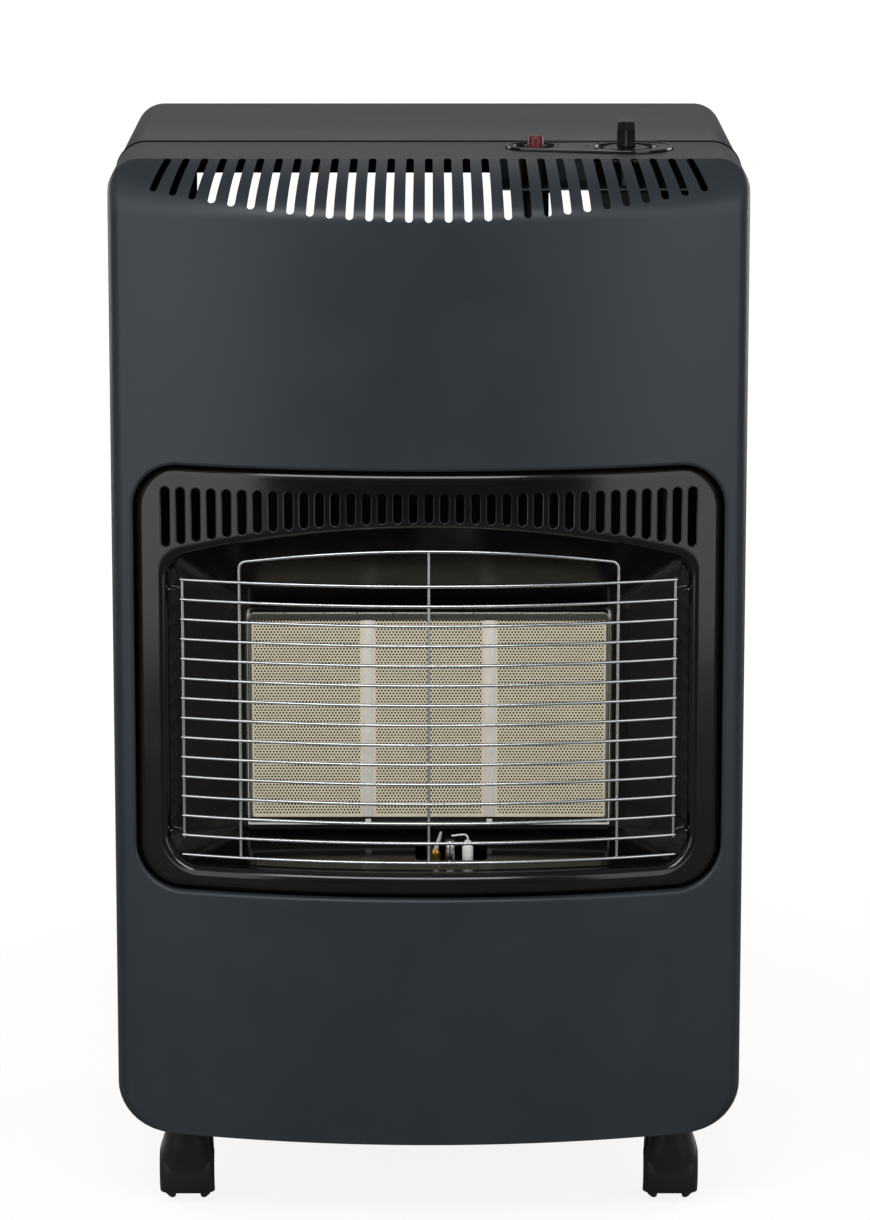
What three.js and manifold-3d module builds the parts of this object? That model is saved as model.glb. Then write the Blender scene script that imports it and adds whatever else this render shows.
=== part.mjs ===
// Portable gas cabinet heater on four casters, in millimetres, Z up, front facing -Y.
// The origin lies on the floor, under the centre of the cabinet.
import * as THREE from 'three';
import { mergeVertices } from 'three/addons/utils/BufferGeometryUtils.js';
import Module from 'manifold-3d';

const wasm = await Module();
wasm.setup();

// ---------------------------------------------------------------- driving dimensions

const fit = 0.3;                 // clearance between pieces that rest on each other
const runningGap = 0.35;         // radial clearance of a turning or sliding piece
const sheet = 1;                 // steel sheet of the cabinet
const thinSheet = 0.8;           // steel sheet of the inner pieces

// cabinet body
const bodyWidth = 420;
const bodyDepth = 400;
const topHeight = 718;           // floor to the flat top
const panelFoot = 63;            // floor to the lower edge of the panels
const bowRadius = 565;           // plan radius of the bowed front
const edgeRadius = 13;           // rounding of the upright front edges
const topCorner = 20;            // corner radius of the top, seen from the front
const footCorner = 30;           // corner radius of the foot of the front panel
const creaseDepth = 59;          // foremost point of the front to the crease of the top
const shoulderHeight = 35;       // height of the rolled shoulder below the crease
const shoulderSweep = THREE.MathUtils.degToRad(40);
const seamDepth = 155;           // foremost point of the front to the seam
const seamGap = 1.6;
const footFlange = 12;           // inturned flange at the foot of the front panel
const tongueLength = 10;         // lip of the cabinet that carries the front panel
const tongueGap = 0.7;
const sideFlange = 43;           // rear flanges of the cabinet, beside the opening
const topLip = 50;               // rear flange of the cabinet, above the opening

// vents of the front panel, a fan of slots over the shoulder
const ventCount = 29;
const ventWidth = 5;
const ventUpperPitch = 12.2;
const ventLowerPitch = 12.8;
const ventReach = 34.7;          // drop of the middle slot below the top
const ventSmile = 6.3e-4;        // rise of the lower ends, per millimetre squared
const ventSlant = THREE.MathUtils.degToRad(35);

// window of the front panel and its bezel
const windowWidth = 390;
const windowLow = 232.7;
const windowHigh = 520;
const windowCorner = 30;
const lipDepth = 5;              // window edge turned inwards
const bezelMargin = 4;           // bezel hidden behind the lip
const openingWidth = 345.2;
const openingLow = 249.5;
const openingHigh = 481.8;
const openingShoulder = 460.3;   // ends of the arched top edge
const openingShoulderX = 158;
const openingSide = 447;         // upper end of the straight sides
const openingCorner = 20;
const grilleCount = 35;
const grillePitch = 10.2;
const grilleWidth = 5.4;
const grilleTop = 505.8;
const grilleLow = 485.2;
const grilleArc = 730;

// burner with three ceramic plaques
const plaqueCount = 3;
const plaqueWidth = 77;
const plaqueHeight = 142;
const plaqueThickness = 13;
const stripWidth = 4.4;          // space between two plaques
const burnerHeight = 341.1;      // centre of the burner above the floor
const burnerSetback = 60;        // foremost point of the front to the ceramic face
const frameLap = 2.1;            // frame over the rim of the plaques
const gasketRim = 1;
const plenumDepth = 22;
const burnerFlange = 9;

// pressed surround of the cavity
const surroundMouthWidth = 350;
const surroundMouthY = 35;       // foremost point of the front to the side mouth
const surroundMouthTop = 484;
const surroundMouthLow = 246.5;
const surroundRearLow = 262;

// wire guard
const guardWires = 15;
const guardWire = 1.1;           // wire radius
const guardLow = 255.6;
const guardPitch = 13.35;
const guardHalf = 164;
const guardInset = 8;
const guardFrameX = 125;
const guardFrameCorner = 456.5;
const guardFrameTop = 465.5;
const guardHooks = [271.5, 435.8];
const hookX = 170.5;

// pilot
const pilotSetback = 40;         // foremost point of the front to the pilot
const pilotSlotX = [-9, 39];
const pilotSlotDepth = 22;
const pilotTop = 263;
const pilotX = { thermocouple: 4.4, burner: 14.2, electrode: 26 };
const pilotRadius = { thermocouple: 3, burner: 3.4, electrode: 3.7 };
const pilotTail = 5;             // heads below their bracket
const lineStep = 6;              // drop from one pilot line to the next
const lineTurnX = 60;            // where the lines turn in towards the pilot
const leadPitch = 4.3;           // ignition lead beside the middle of the gap between two tubes

// gas train
const venturiRadius = 8;
const venturiMouth = 12;
const venturiFlange = 9.4;
const venturiLength = 66;
const manifoldSize = 12;
const injectorHeight = 14;
const shieldSetback = 108;       // foremost point of the front to the heat shield
const shieldDrop = 40;           // valve to the top of the heat shield
const feedX = 158;               // upright run of the feed pipe, beside the surround
const pilotTubeX = 138;
const thermoX = 147;
const portDrop = 14;             // straight run of a line below the valve
const bendDrop = 60;

// controls on the top
const knobInset = 79;            // right side of the cabinet to the knob
const knobSetback = 115;         // foremost point of the front to the knob
const buttonSpacing = 60;        // knob to igniter button, across
const buttonSetback = 119;
const escutcheonThickness = 2.7;
const knobEnd = 31.7;            // plan radii of the two ends of the escutcheon
const buttonEnd = 20;
const knobDish = 21.5;
const knobDishDepth = 9;
const buttonDish = 15.5;
const buttonDishDepth = 4;
const dishWall = 1.2;
const dishFloor = 1.5;
const knobSkirt = 15.5;
const knobHeight = 22;           // top of the knob above the cabinet
const knobTravel = 4;
const buttonRadius = 5.4;
const buttonHeight = 9.5;
const buttonTravel = 6;
const spindleRadius = 3;
const bracketDrop = 24;          // cabinet top to the control bracket
const bracketLeft = 27;          // bracket beyond the button
const bracketRight = 41;         // bracket beyond the knob
const bracketHalfY = 24;
const valveWidth = 44;
const valveDepth = 40;
const valveHeight = 42;
const portSetback = 13;          // gas ports of the valve in front of its axis
const portSpacing = 13;
const plugRadius = 8;
const igniterRadius = 9;
const igniterLength = 60;
const igniterRise = 18;          // igniter above its bracket
const nozzleLength = 38;

// base and rear cover
const trayHeight = 19;
const traySideInset = 32;        // side of the cabinet to the tray between the front casters
const trayInset = 6;
const ledgeX = 120;              // ledges of the tray that carry the rear cover
const ledgeHalf = 15;
const coverWidth = 368;
const coverDrop = 118;           // cabinet top to the upper edge of the cover
const coverLow = 69.8;
const coverRim = 8;
const louvreRows = [40, 400];    // lower ends of the louvres above the foot of the cover
const louvreReach = 4;           // louvres on each side of the middle one
const louvrePitch = 28;
const louvreHeight = 50;
const louvreRadius = 2.5;

// casters
const casterInset = 45;          // side of the cabinet to the stems
const frontStemSetback = 64.5;   // foremost point of the front to the front stems
const rearStemSetback = 55;      // rear face to the rear stems
const wheelRadius = 25;
const wheelWidth = 9.6;
const casterTrail = 20;
const casterWidth = 36.6;
const hoodGap = 1.4;             // hood above the wheel treads
const hoodWall = 1.6;
const webHalf = 8;
const stemRadius = 4;
const stemSocket = 14;
const axleRadius = 2.5;

// ---------------------------------------------------------------- derived places

const half = bodyWidth / 2;
const knobX = half - knobInset;
const buttonX = knobX - buttonSpacing;
const trayHalf = half - traySideInset;
const casterX = half - casterInset;
const coverTop = topHeight - coverDrop;
const frontY = -bodyDepth / 2;
const backY = bodyDepth / 2;
const creaseY = frontY + creaseDepth;
const seamY = frontY + seamDepth;
const bowCentreY = frontY + bowRadius;
const cabinetBackY = backY - sheet - fit;
const springHeight = topHeight - shoulderHeight;
const ceramicY = frontY + burnerSetback;
const shieldY = frontY + shieldSetback;
const pilotY = frontY + pilotSetback;
const knobY = frontY + knobSetback;
const buttonY = frontY + buttonSetback;
const bracketZ = topHeight - sheet - bracketDrop;
const valveTop = bracketZ - fit;
const valveLow = valveTop - valveHeight;
const shieldTop = valveLow - shieldDrop;
const portY = knobY - portSetback;
const igniterLow = bracketZ + sheet + igniterRise - igniterLength;
const trayFloor = panelFoot + sheet + fit;
const plaquePitch = plaqueWidth + stripWidth;
const plaqueRowHalf = (plaqueCount * plaqueWidth + (plaqueCount - 1) * stripWidth) / 2;

// ---------------------------------------------------------------- materials

function paint(color, roughness, metalness) {
  return new THREE.MeshStandardMaterial({ color, roughness, metalness });
}

const finishes = {
  powderCoat: () => paint(0x3a3e42, 0.55, 0.1),
  blackEnamel: () => paint(0x0b0c0d, 0.18, 0.1),
  chrome: () => paint(0xb9bcc0, 0.2, 1),
  stainless: () => paint(0x9da0a2, 0.35, 1),
  ceramic: () => paint(0xd8cfa8, 0.9, 0),
  fibre: () => paint(0xc9cac6, 0.95, 0),
  zincSteel: () => paint(0x8c9296, 0.45, 0.9),
  aluminised: () => paint(0x75797c, 0.5, 0.9),
  brass: () => paint(0xb08d4a, 0.35, 1),
  porcelain: () => paint(0xf0eee6, 0.3, 0),
  blackPlastic: () => paint(0x111213, 0.4, 0),
  redPlastic: () => paint(0x8b1a2b, 0.35, 0),
  rubber: () => paint(0x1b1b1c, 0.8, 0),
};

// ---------------------------------------------------------------- solid helpers

function solid(geometry) {
  geometry.deleteAttribute('normal');
  geometry.deleteAttribute('uv');
  const merged = mergeVertices(geometry, 1e-4);
  const corner = (i) => new THREE.Vector3().fromBufferAttribute(merged.attributes.position, i);
  let volume = 0;
  const triangles = [];
  for (let i = 0; i < merged.index.count; i += 3) {
    const [a, b, c] = [0, 1, 2].map((k) => merged.index.getX(i + k));
    if (a === b || b === c || c === a) continue;
    volume += corner(a).dot(corner(b).cross(corner(c)));
    triangles.push([a, b, c]);
  }
  if (volume < 0) triangles.forEach((triangle) => triangle.reverse());
  return new wasm.Manifold(new wasm.Mesh({
    numProp: 3,
    vertProperties: new Float32Array(merged.attributes.position.array),
    triVerts: new Uint32Array(triangles.flat()),
  }));
}

const join = (first, ...others) => others.reduce((whole, part) => whole.add(part), first);
const cut = (first, ...others) => others.reduce((whole, part) => whole.subtract(part), first);

function block(x0, x1, y0, y1, z0, z1) {
  const box = new THREE.BoxGeometry(x1 - x0, y1 - y0, z1 - z0);
  return solid(box.translate((x0 + x1) / 2, (y0 + y1) / 2, (z0 + z1) / 2));
}

// round bar between two points
function bar(radius, from, to, sides = 24) {
  const start = new THREE.Vector3(...from);
  const run = new THREE.Vector3(...to).sub(start);
  const geometry = new THREE.CylinderGeometry(radius, radius, run.length(), sides);
  const turn = new THREE.Quaternion().setFromUnitVectors(
    new THREE.Vector3(0, 1, 0), run.clone().normalize());
  geometry.applyQuaternion(turn);
  return solid(geometry.translate(...start.addScaledVector(run, 0.5).toArray()));
}

const post = (radius, x, y, z0, z1, sides) => bar(radius, [x, y, z0], [x, y, z1], sides);

// outline in X and Z, drawn from y0 to y1
function prismY(shape, y0, y1, curveSegments = 6) {
  const options = { depth: y1 - y0, bevelEnabled: false, curveSegments };
  return new THREE.ExtrudeGeometry(shape, options).rotateX(Math.PI / 2).translate(0, y1, 0);
}

// outline in X and Y, drawn from z0 to z1
function prismZ(shape, z0, z1, curveSegments = 6) {
  const options = { depth: z1 - z0, bevelEnabled: false, curveSegments };
  return new THREE.ExtrudeGeometry(shape, options).translate(0, 0, z0);
}

// profile of radius and height, turned about the Z axis
function turned(profile, sides = 24) {
  const points = profile.map(([radius, height]) => new THREE.Vector2(radius, height));
  return new THREE.LatheGeometry(points, sides).rotateX(Math.PI / 2);
}

function polygon(points) {
  return new THREE.Shape(points.map(([x, y]) => new THREE.Vector2(x, y)));
}

function roundedRect(x0, x1, y0, y1, radius) {
  const shape = new THREE.Shape();
  shape.moveTo(x0 + radius, y0);
  shape.lineTo(x1 - radius, y0);
  shape.absarc(x1 - radius, y0 + radius, radius, -Math.PI / 2, 0);
  shape.lineTo(x1, y1 - radius);
  shape.absarc(x1 - radius, y1 - radius, radius, 0, Math.PI / 2);
  shape.lineTo(x0 + radius, y1);
  shape.absarc(x0 + radius, y1 - radius, radius, Math.PI / 2, Math.PI);
  shape.lineTo(x0, y0 + radius);
  shape.absarc(x0 + radius, y0 + radius, radius, Math.PI, Math.PI * 1.5);
  return shape;
}

// slot with rounded ends between two points
function capsule(x0, y0, x1, y1, radius) {
  const lean = Math.atan2(y1 - y0, x1 - x0);
  const points = [];
  const endSteps = 3;
  for (const [x, y, start] of [[x1, y1, lean - Math.PI / 2], [x0, y0, lean + Math.PI / 2]]) {
    for (let i = 0; i <= endSteps; i += 1) {
      const angle = start + (i / endSteps) * Math.PI;
      points.push([x + radius * Math.cos(angle), y + radius * Math.sin(angle)]);
    }
  }
  return polygon(points);
}

// tube or wire along a smooth route
function wire(points, radius, steps, sides = 8) {
  const section = new THREE.Shape();
  for (let i = 0; i < sides; i += 1) {
    const angle = (i / sides) * Math.PI * 2;
    const corner = [radius * Math.cos(angle), radius * Math.sin(angle)];
    if (i) section.lineTo(...corner);
    else section.moveTo(...corner);
  }
  const route = points.map((point) => new THREE.Vector3(...point));
  const extrudePath = new THREE.CatmullRomCurve3(route, false, 'centripetal');
  return solid(new THREE.ExtrudeGeometry(section, { steps, extrudePath, bevelEnabled: false }));
}

// closed solid through a stack of outlines with equal point counts, drawn upwards
function loft(rings) {
  const count = rings[0].length;
  const positions = rings.flat().flat();
  const triangles = [];
  for (let level = 0; level + 1 < rings.length; level += 1) {
    for (let i = 0; i < count; i += 1) {
      const a = level * count + i;
      const b = level * count + ((i + 1) % count);
      triangles.push(a, b, b + count, a, b + count, a + count);
    }
  }
  const top = (rings.length - 1) * count;
  for (let i = 1; i + 1 < count; i += 1) {
    triangles.push(0, i + 1, i, top, top + i, top + i + 1);
  }
  const geometry = new THREE.BufferGeometry();
  geometry.setAttribute('position', new THREE.Float32BufferAttribute(positions, 3));
  geometry.setIndex(triangles);
  return solid(geometry);
}

const heater = new THREE.Group();

function addPiece(name, shape, finish, parent = heater) {
  const source = shape.getMesh();
  const geometry = new THREE.BufferGeometry();
  geometry.setAttribute('position', new THREE.BufferAttribute(source.vertProperties, 3));
  geometry.setIndex(new THREE.BufferAttribute(source.triVerts, 1));
  geometry.computeVertexNormals();
  const mesh = new THREE.Mesh(geometry, finishes[finish]());
  mesh.name = name;
  parent.add(mesh);
  return mesh;
}

// ---------------------------------------------------------------- bowed body shape

// front face at a given x, set back by an inset
function bowY(x, inset = 0) {
  return bowCentreY - Math.sqrt((bowRadius - inset) ** 2 - x * x);
}

// one level of the front body: straight sides, rounded edges, bowed front
function bodyRing(z, levelHalf, inset, forward, rearY) {
  const rounding = Math.max(edgeRadius - inset, 0.5);
  const cornerX = levelHalf - rounding;
  const reach = bowRadius - inset - rounding;
  const cornerY = bowCentreY - Math.sqrt(reach ** 2 - cornerX ** 2);
  const lean = Math.asin(cornerX / reach);
  const outline = [[levelHalf, rearY], [-levelHalf, rearY]];
  const edgeSteps = 4;
  for (let i = 0; i <= edgeSteps; i += 1) {
    const angle = Math.PI + (i / edgeSteps) * (Math.PI / 2 - lean);
    outline.push([-cornerX + rounding * Math.cos(angle), cornerY + rounding * Math.sin(angle)]);
  }
  const bowSteps = 10;
  for (let i = 1; i < bowSteps; i += 1) {
    const angle = lean * ((2 * i) / bowSteps - 1);
    const radius = bowRadius - inset;
    outline.push([radius * Math.sin(angle), bowCentreY - radius * Math.cos(angle)]);
  }
  for (let i = edgeSteps; i >= 0; i -= 1) {
    const angle = -(i / edgeSteps) * (Math.PI / 2 - lean);
    outline.push([cornerX + rounding * Math.cos(angle), cornerY + rounding * Math.sin(angle)]);
  }
  return outline.map(([x, y]) => {
    const shifted = y < creaseY ? creaseY + (y - creaseY) * forward : y;
    return [x, shifted, z];
  });
}

// solid front body, shrunk by an inset on every side but the rear
function bodyPlug(inset, rearY = seamY) {
  const low = panelFoot + inset;
  const high = topHeight - inset;
  const footRadius = Math.max(footCorner - inset, 1);
  const topRadius = Math.max(topCorner - inset, 1);
  const fullHalf = half - inset;
  const rings = [];
  const footSteps = 4;
  for (let i = 0; i <= footSteps; i += 1) {
    const angle = (i / footSteps) * (Math.PI / 2);
    const levelHalf = fullHalf - footRadius * (1 - Math.sin(angle));
    rings.push(bodyRing(low + footRadius * (1 - Math.cos(angle)), levelHalf, inset, 1, rearY));
  }
  const levels = [];
  const cornerLow = high - topRadius;
  const riseSteps = 1;
  for (let i = 0; i < riseSteps; i += 1) {
    levels.push(springHeight + (i / riseSteps) * (cornerLow - springHeight));
  }
  const cornerSteps = 4;
  for (let i = 0; i <= cornerSteps; i += 1) {
    levels.push(cornerLow + topRadius * Math.sin((i / cornerSteps) * (Math.PI / 2)));
  }
  for (const z of levels) {
    const rise = (z - springHeight) / (high - springHeight);
    const angle = Math.asin(Math.min(rise, 1) * Math.sin(shoulderSweep));
    const forward = (Math.cos(angle) - Math.cos(shoulderSweep)) / (1 - Math.cos(shoulderSweep));
    const above = Math.max(z - cornerLow, 0);
    const levelHalf = fullHalf - topRadius + Math.sqrt(Math.max(topRadius ** 2 - above ** 2, 0));
    rings.push(bodyRing(z, levelHalf, inset, Math.max(forward, 0), rearY));
  }
  return loft(rings);
}

// ---------------------------------------------------------------- front panel

const cutterFront = frontY - 10;
const cutterRear = creaseY + 6;

function windowPrism(grow) {
  const x = windowWidth / 2 + grow;
  const outline = roundedRect(-x, x, windowLow - grow, windowHigh + grow, windowCorner + grow);
  return solid(prismY(outline, cutterFront, cutterRear + 30, 3));
}

// one vent slot: it leans with the fan and is cut downwards to the rear
function ventCutter(index) {
  const lowerX = index * ventLowerPitch;
  const upperX = index * ventUpperPitch;
  const slope = Math.tan(ventSlant);
  const lowerZ = topHeight - ventReach + ventSmile * lowerX * lowerX;
  const lower = lowerZ + (bowY(lowerX) - frontY) * slope + ventWidth / 2;
  const upper = topHeight + (creaseY - frontY) * slope - ventWidth / 2;
  const outline = capsule(lowerX, lower, upperX, upper, ventWidth / 2);
  const slanted = prismY(outline, cutterFront, cutterRear);
  const shear = new THREE.Matrix4().set(
    1, 0, 0, 0,
    0, 1, 0, 0,
    0, -slope, 1, frontY * slope,
    0, 0, 0, 1);
  return solid(slanted.applyMatrix4(shear));
}

// bowed front edge of the base, from left to right
function bowedEdge(side, inset) {
  const points = [];
  const steps = 10;
  for (let i = 0; i <= steps; i += 1) {
    const x = side * ((2 * i) / steps - 1);
    points.push([x, bowY(x, inset)]);
  }
  return points;
}

function buildFrontPanel() {
  const pastSeam = seamY + 5;
  const shell = cut(bodyPlug(0), bodyPlug(sheet, pastSeam));
  const footSide = trayHalf + 1;
  const footOpening = polygon([
    [footSide, pastSeam], [-footSide, pastSeam], ...bowedEdge(footSide, footFlange),
  ]);
  const lipBand = cut(bodyPlug(0), bodyPlug(lipDepth, pastSeam));
  const lip = cut(windowPrism(sheet).intersect(lipBand), windowPrism(0));
  let panel = cut(shell, solid(prismZ(footOpening, panelFoot - 1, panelFoot + sheet + 1)));
  panel = join(cut(panel, windowPrism(0)), lip);
  const reach = (ventCount - 1) / 2;
  for (let index = -reach; index <= reach; index += 1) panel = cut(panel, ventCutter(index));
  const dishCut = dishWall + fit;
  panel = cut(
    panel,
    post(knobDish + dishCut, knobX, knobY, topHeight - 3, topHeight + 3, 24),
    post(buttonDish + dishCut, buttonX, buttonY, topHeight - 3, topHeight + 3, 20));
  addPiece('front_panel', panel, 'powderCoat');
}

// ---------------------------------------------------------------- window bezel

function openingShape(grow = 0) {
  const x = openingWidth / 2 + grow;
  const low = openingLow - grow;
  const high = openingHigh + grow;
  const endZ = openingShoulder + grow;
  const endX = openingShoulderX;
  const rise = high - endZ;
  const radius = (endX ** 2 + rise ** 2) / (2 * rise);
  const lean = Math.asin(endX / radius);
  const shape = new THREE.Shape();
  shape.moveTo(-x + openingCorner, low);
  shape.lineTo(x - openingCorner, low);
  shape.absarc(x - openingCorner, low + openingCorner, openingCorner, -Math.PI / 2, 0);
  shape.lineTo(x, openingSide);
  shape.quadraticCurveTo(x, endZ - 4, endX, endZ);
  shape.absarc(0, high - radius, radius, Math.PI / 2 - lean, Math.PI / 2 + lean);
  shape.quadraticCurveTo(-x, endZ - 4, -x, openingSide);
  shape.lineTo(-x, low + openingCorner);
  shape.absarc(-x + openingCorner, low + openingCorner, openingCorner, Math.PI, Math.PI * 1.5);
  return shape;
}

function buildBezel() {
  const face = lipDepth + fit;
  const layer = cut(bodyPlug(face, creaseY), bodyPlug(face + sheet, seamY));
  let bezel = windowPrism(bezelMargin).intersect(layer);
  bezel = cut(bezel, solid(prismY(openingShape(), cutterFront, cutterRear, 5)));
  const reach = (grilleCount - 1) / 2;
  for (let index = -reach; index <= reach; index += 1) {
    const x = index * grillePitch;
    const radius = grilleWidth / 2;
    const low = grilleLow - (x * x) / (2 * grilleArc) + radius;
    const slot = capsule(x, low, x, grilleTop - radius, radius);
    bezel = cut(bezel, solid(prismY(slot, cutterFront, cutterRear)));
  }
  addPiece('window_bezel', bezel, 'blackEnamel');
}

// ---------------------------------------------------------------- surround of the cavity

const frameHalfX = plaqueRowHalf + gasketRim + 2 * fit + thinSheet;
const frameHalfZ = plaqueHeight / 2 + gasketRim + 2 * fit + thinSheet;
const flangeY = ceramicY + plaqueThickness + 2 * fit;
const surroundRearY = flangeY - fit;

// the splayed walls as one tapering solid, grown outwards by an offset
function surroundTaper(grow) {
  const rearHalf = frameHalfX + 0.6;
  const rearHigh = burnerHeight + frameHalfZ + 0.6;
  const sideRun = surroundRearY - (frontY + surroundMouthY);
  const centreRun = surroundRearY - (frontY + lipDepth + sheet + 2 * fit);
  const sideSlope = (surroundMouthWidth / 2 - rearHalf) / sideRun;
  const topSlope = (surroundMouthTop - rearHigh) / centreRun;
  const footSlope = (surroundRearLow - surroundMouthLow) / centreRun;
  const section = (y) => {
    const run = surroundRearY - y;
    const x = rearHalf + sideSlope * run + grow * Math.hypot(1, sideSlope);
    const top = rearHigh + topSlope * run + grow * Math.hypot(1, topSlope);
    const foot = surroundRearLow - footSlope * run - grow * Math.hypot(1, footSlope);
    return [[x, y, foot], [-x, y, foot], [-x, y, top], [x, y, top]];
  };
  const past = 2;
  const ends = [section(surroundRearY + (grow ? 0 : past)), section(frontY)];
  return loft(ends);
}

function buildSurround() {
  const shell = cut(surroundTaper(thinSheet), surroundTaper(0));
  let surround = shell.intersect(bodyPlug(lipDepth + sheet + 2 * fit));
  const slotY = pilotY - pilotSlotDepth / 2;
  surround = cut(
    surround,
    block(pilotSlotX[0], pilotSlotX[1], slotY, slotY + pilotSlotDepth,
      surroundMouthLow - 10, surroundRearLow + 5));
  for (const side of [-1, 1]) {
    for (const z of guardHooks) {
      const [from, to] = hookLine(side, z);
      surround = cut(surround, bar(guardWire + fit, from, to, 12));
    }
  }
  addPiece('reflector_surround', surround, 'blackEnamel');
}

// ---------------------------------------------------------------- wire guard

const guardBackInset = guardInset + 1.8 * guardWire;

function hookLine(side, z) {
  const startX = guardHalf - 1;
  const startY = bowY(startX, guardBackInset);
  const run = hookX - startX;
  return [[side * startX, startY, z], [side * hookX, startY + run, z]];
}

function buildGuard() {
  const bowed = (z, reach, inset, steps, rise = 0) => {
    const points = [];
    for (let i = 0; i <= steps; i += 1) {
      const x = reach * ((2 * i) / steps - 1);
      points.push([x, bowY(x, inset), z + rise * (1 - (x / reach) ** 2)]);
    }
    return points;
  };
  const sides = 5;
  const uprightSides = 4;
  const top = guardLow + (guardWires - 1) * guardPitch;
  const pieces = [];
  for (let i = 0; i < guardWires; i += 1) {
    const route = bowed(guardLow + i * guardPitch, guardHalf, guardInset, 8);
    pieces.push(wire(route, guardWire, 6, sides));
  }
  for (const side of [-1, 1]) {
    const endX = side * (guardHalf - 1);
    const endY = bowY(endX, guardBackInset);
    pieces.push(post(guardWire, endX, endY, guardLow + guardPitch - 2, top + 1, uprightSides));
    for (const z of guardHooks) pieces.push(bar(guardWire, ...hookLine(side, z), sides));
    const frameX = side * guardFrameX;
    const frameY = bowY(frameX, guardBackInset);
    const uprightTop = guardFrameCorner - 5;
    pieces.push(post(guardWire, frameX, frameY, guardLow - 1, uprightTop, uprightSides));
    const onFrame = (inwards, z) => {
      const x = frameX - side * inwards;
      return [x, bowY(x, guardBackInset), guardFrameCorner + z];
    };
    const bend = [onFrame(0, -6), onFrame(0, -3), onFrame(1.5, -1), onFrame(5, 0.7)];
    pieces.push(wire(bend, guardWire, 4, sides));
  }
  const arch = guardFrameTop - guardFrameCorner;
  const topBar = bowed(guardFrameCorner, guardFrameX - 4, guardBackInset, 8, arch);
  pieces.push(wire(topBar, guardWire, 8, sides));
  const middleY = bowY(0, guardBackInset);
  pieces.push(post(guardWire, 0, middleY, guardLow - 1, guardFrameTop, uprightSides));
  addPiece('wire_guard', join(...pieces), 'chrome');
}

// ---------------------------------------------------------------- burner

function frameBlock(grow, y0, y1) {
  return block(
    -frameHalfX - grow, frameHalfX + grow, y0, y1,
    burnerHeight - frameHalfZ - grow, burnerHeight + frameHalfZ + grow);
}

function buildBurner() {
  const lipY = ceramicY - fit - thinSheet;
  const openHalfX = plaqueRowHalf - frameLap;
  const openHalfZ = plaqueHeight / 2 - frameLap;
  const openLow = burnerHeight - openHalfZ;
  const openHigh = burnerHeight + openHalfZ;
  const frame = cut(
    join(
      frameBlock(0, lipY, flangeY + thinSheet),
      frameBlock(burnerFlange, flangeY, flangeY + thinSheet)),
    frameBlock(-thinSheet, ceramicY - fit, flangeY + 2),
    block(-openHalfX, openHalfX, lipY - 1, ceramicY, openLow, openHigh));
  addPiece('burner_frame', frame, 'stainless');

  const plenumFlangeY = flangeY + thinSheet + fit;
  const plenumBack = plenumFlangeY + plenumDepth;
  let gasket = frameBlock(-thinSheet - fit, ceramicY + 0.5, flangeY + thinSheet);
  let plenum = cut(
    join(
      frameBlock(0, plenumFlangeY, plenumBack),
      frameBlock(burnerFlange, plenumFlangeY, plenumFlangeY + thinSheet)),
    frameBlock(-thinSheet, plenumFlangeY - 1, plenumBack - thinSheet));
  const plenumFoot = burnerHeight - frameHalfZ;
  const venturiY = (plenumFlangeY + plenumBack) / 2;
  for (let i = 0; i < plaqueCount; i += 1) {
    const x = (i - (plaqueCount - 1) / 2) * plaquePitch;
    const cell = (grow, y0, y1) => block(
      x - plaqueWidth / 2 - grow, x + plaqueWidth / 2 + grow, y0, y1,
      burnerHeight - plaqueHeight / 2 - grow, burnerHeight + plaqueHeight / 2 + grow);
    addPiece(`ceramic_plaque_${i + 1}`, cell(0, ceramicY, ceramicY + plaqueThickness), 'ceramic');
    gasket = cut(gasket, cell(fit, ceramicY - 1, plenumFlangeY));
    plenum = cut(plenum, post(venturiRadius - 1, x, venturiY, plenumFoot - 2, plenumFoot + 4, 16));
    if (i) {
      const wallX = x - plaquePitch / 2;
      const wall = block(
        wallX - thinSheet / 2, wallX + thinSheet / 2, plenumFlangeY, plenumBack - thinSheet / 2,
        plenumFoot + thinSheet / 2, burnerHeight + frameHalfZ - thinSheet / 2);
      plenum = join(plenum, wall);
    }
    buildVenturi(i + 1, x, venturiY, plenumFoot - fit);
  }
  addPiece('plaque_gasket', gasket, 'fibre');
  addPiece('burner_plenum', plenum, 'aluminised');
  buildManifold(venturiY, plenumFoot - fit - venturiLength);
}

function buildVenturi(number, x, y, topZ) {
  const lowZ = topZ - venturiLength;
  const bore = venturiRadius - 1;
  const profile = [
    [bore, topZ], [bore, lowZ + 16], [venturiMouth - 1, lowZ],
    [venturiMouth, lowZ], [venturiRadius, lowZ + 16.5], [venturiRadius, topZ - 1.2],
    [venturiFlange, topZ - 1.2], [venturiFlange, topZ], [bore, topZ],
  ];
  const tube = solid(turned(profile, 16)).translate([x, y, 0]);
  addPiece(`venturi_tube_${number}`, tube, 'aluminised');
}

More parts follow.
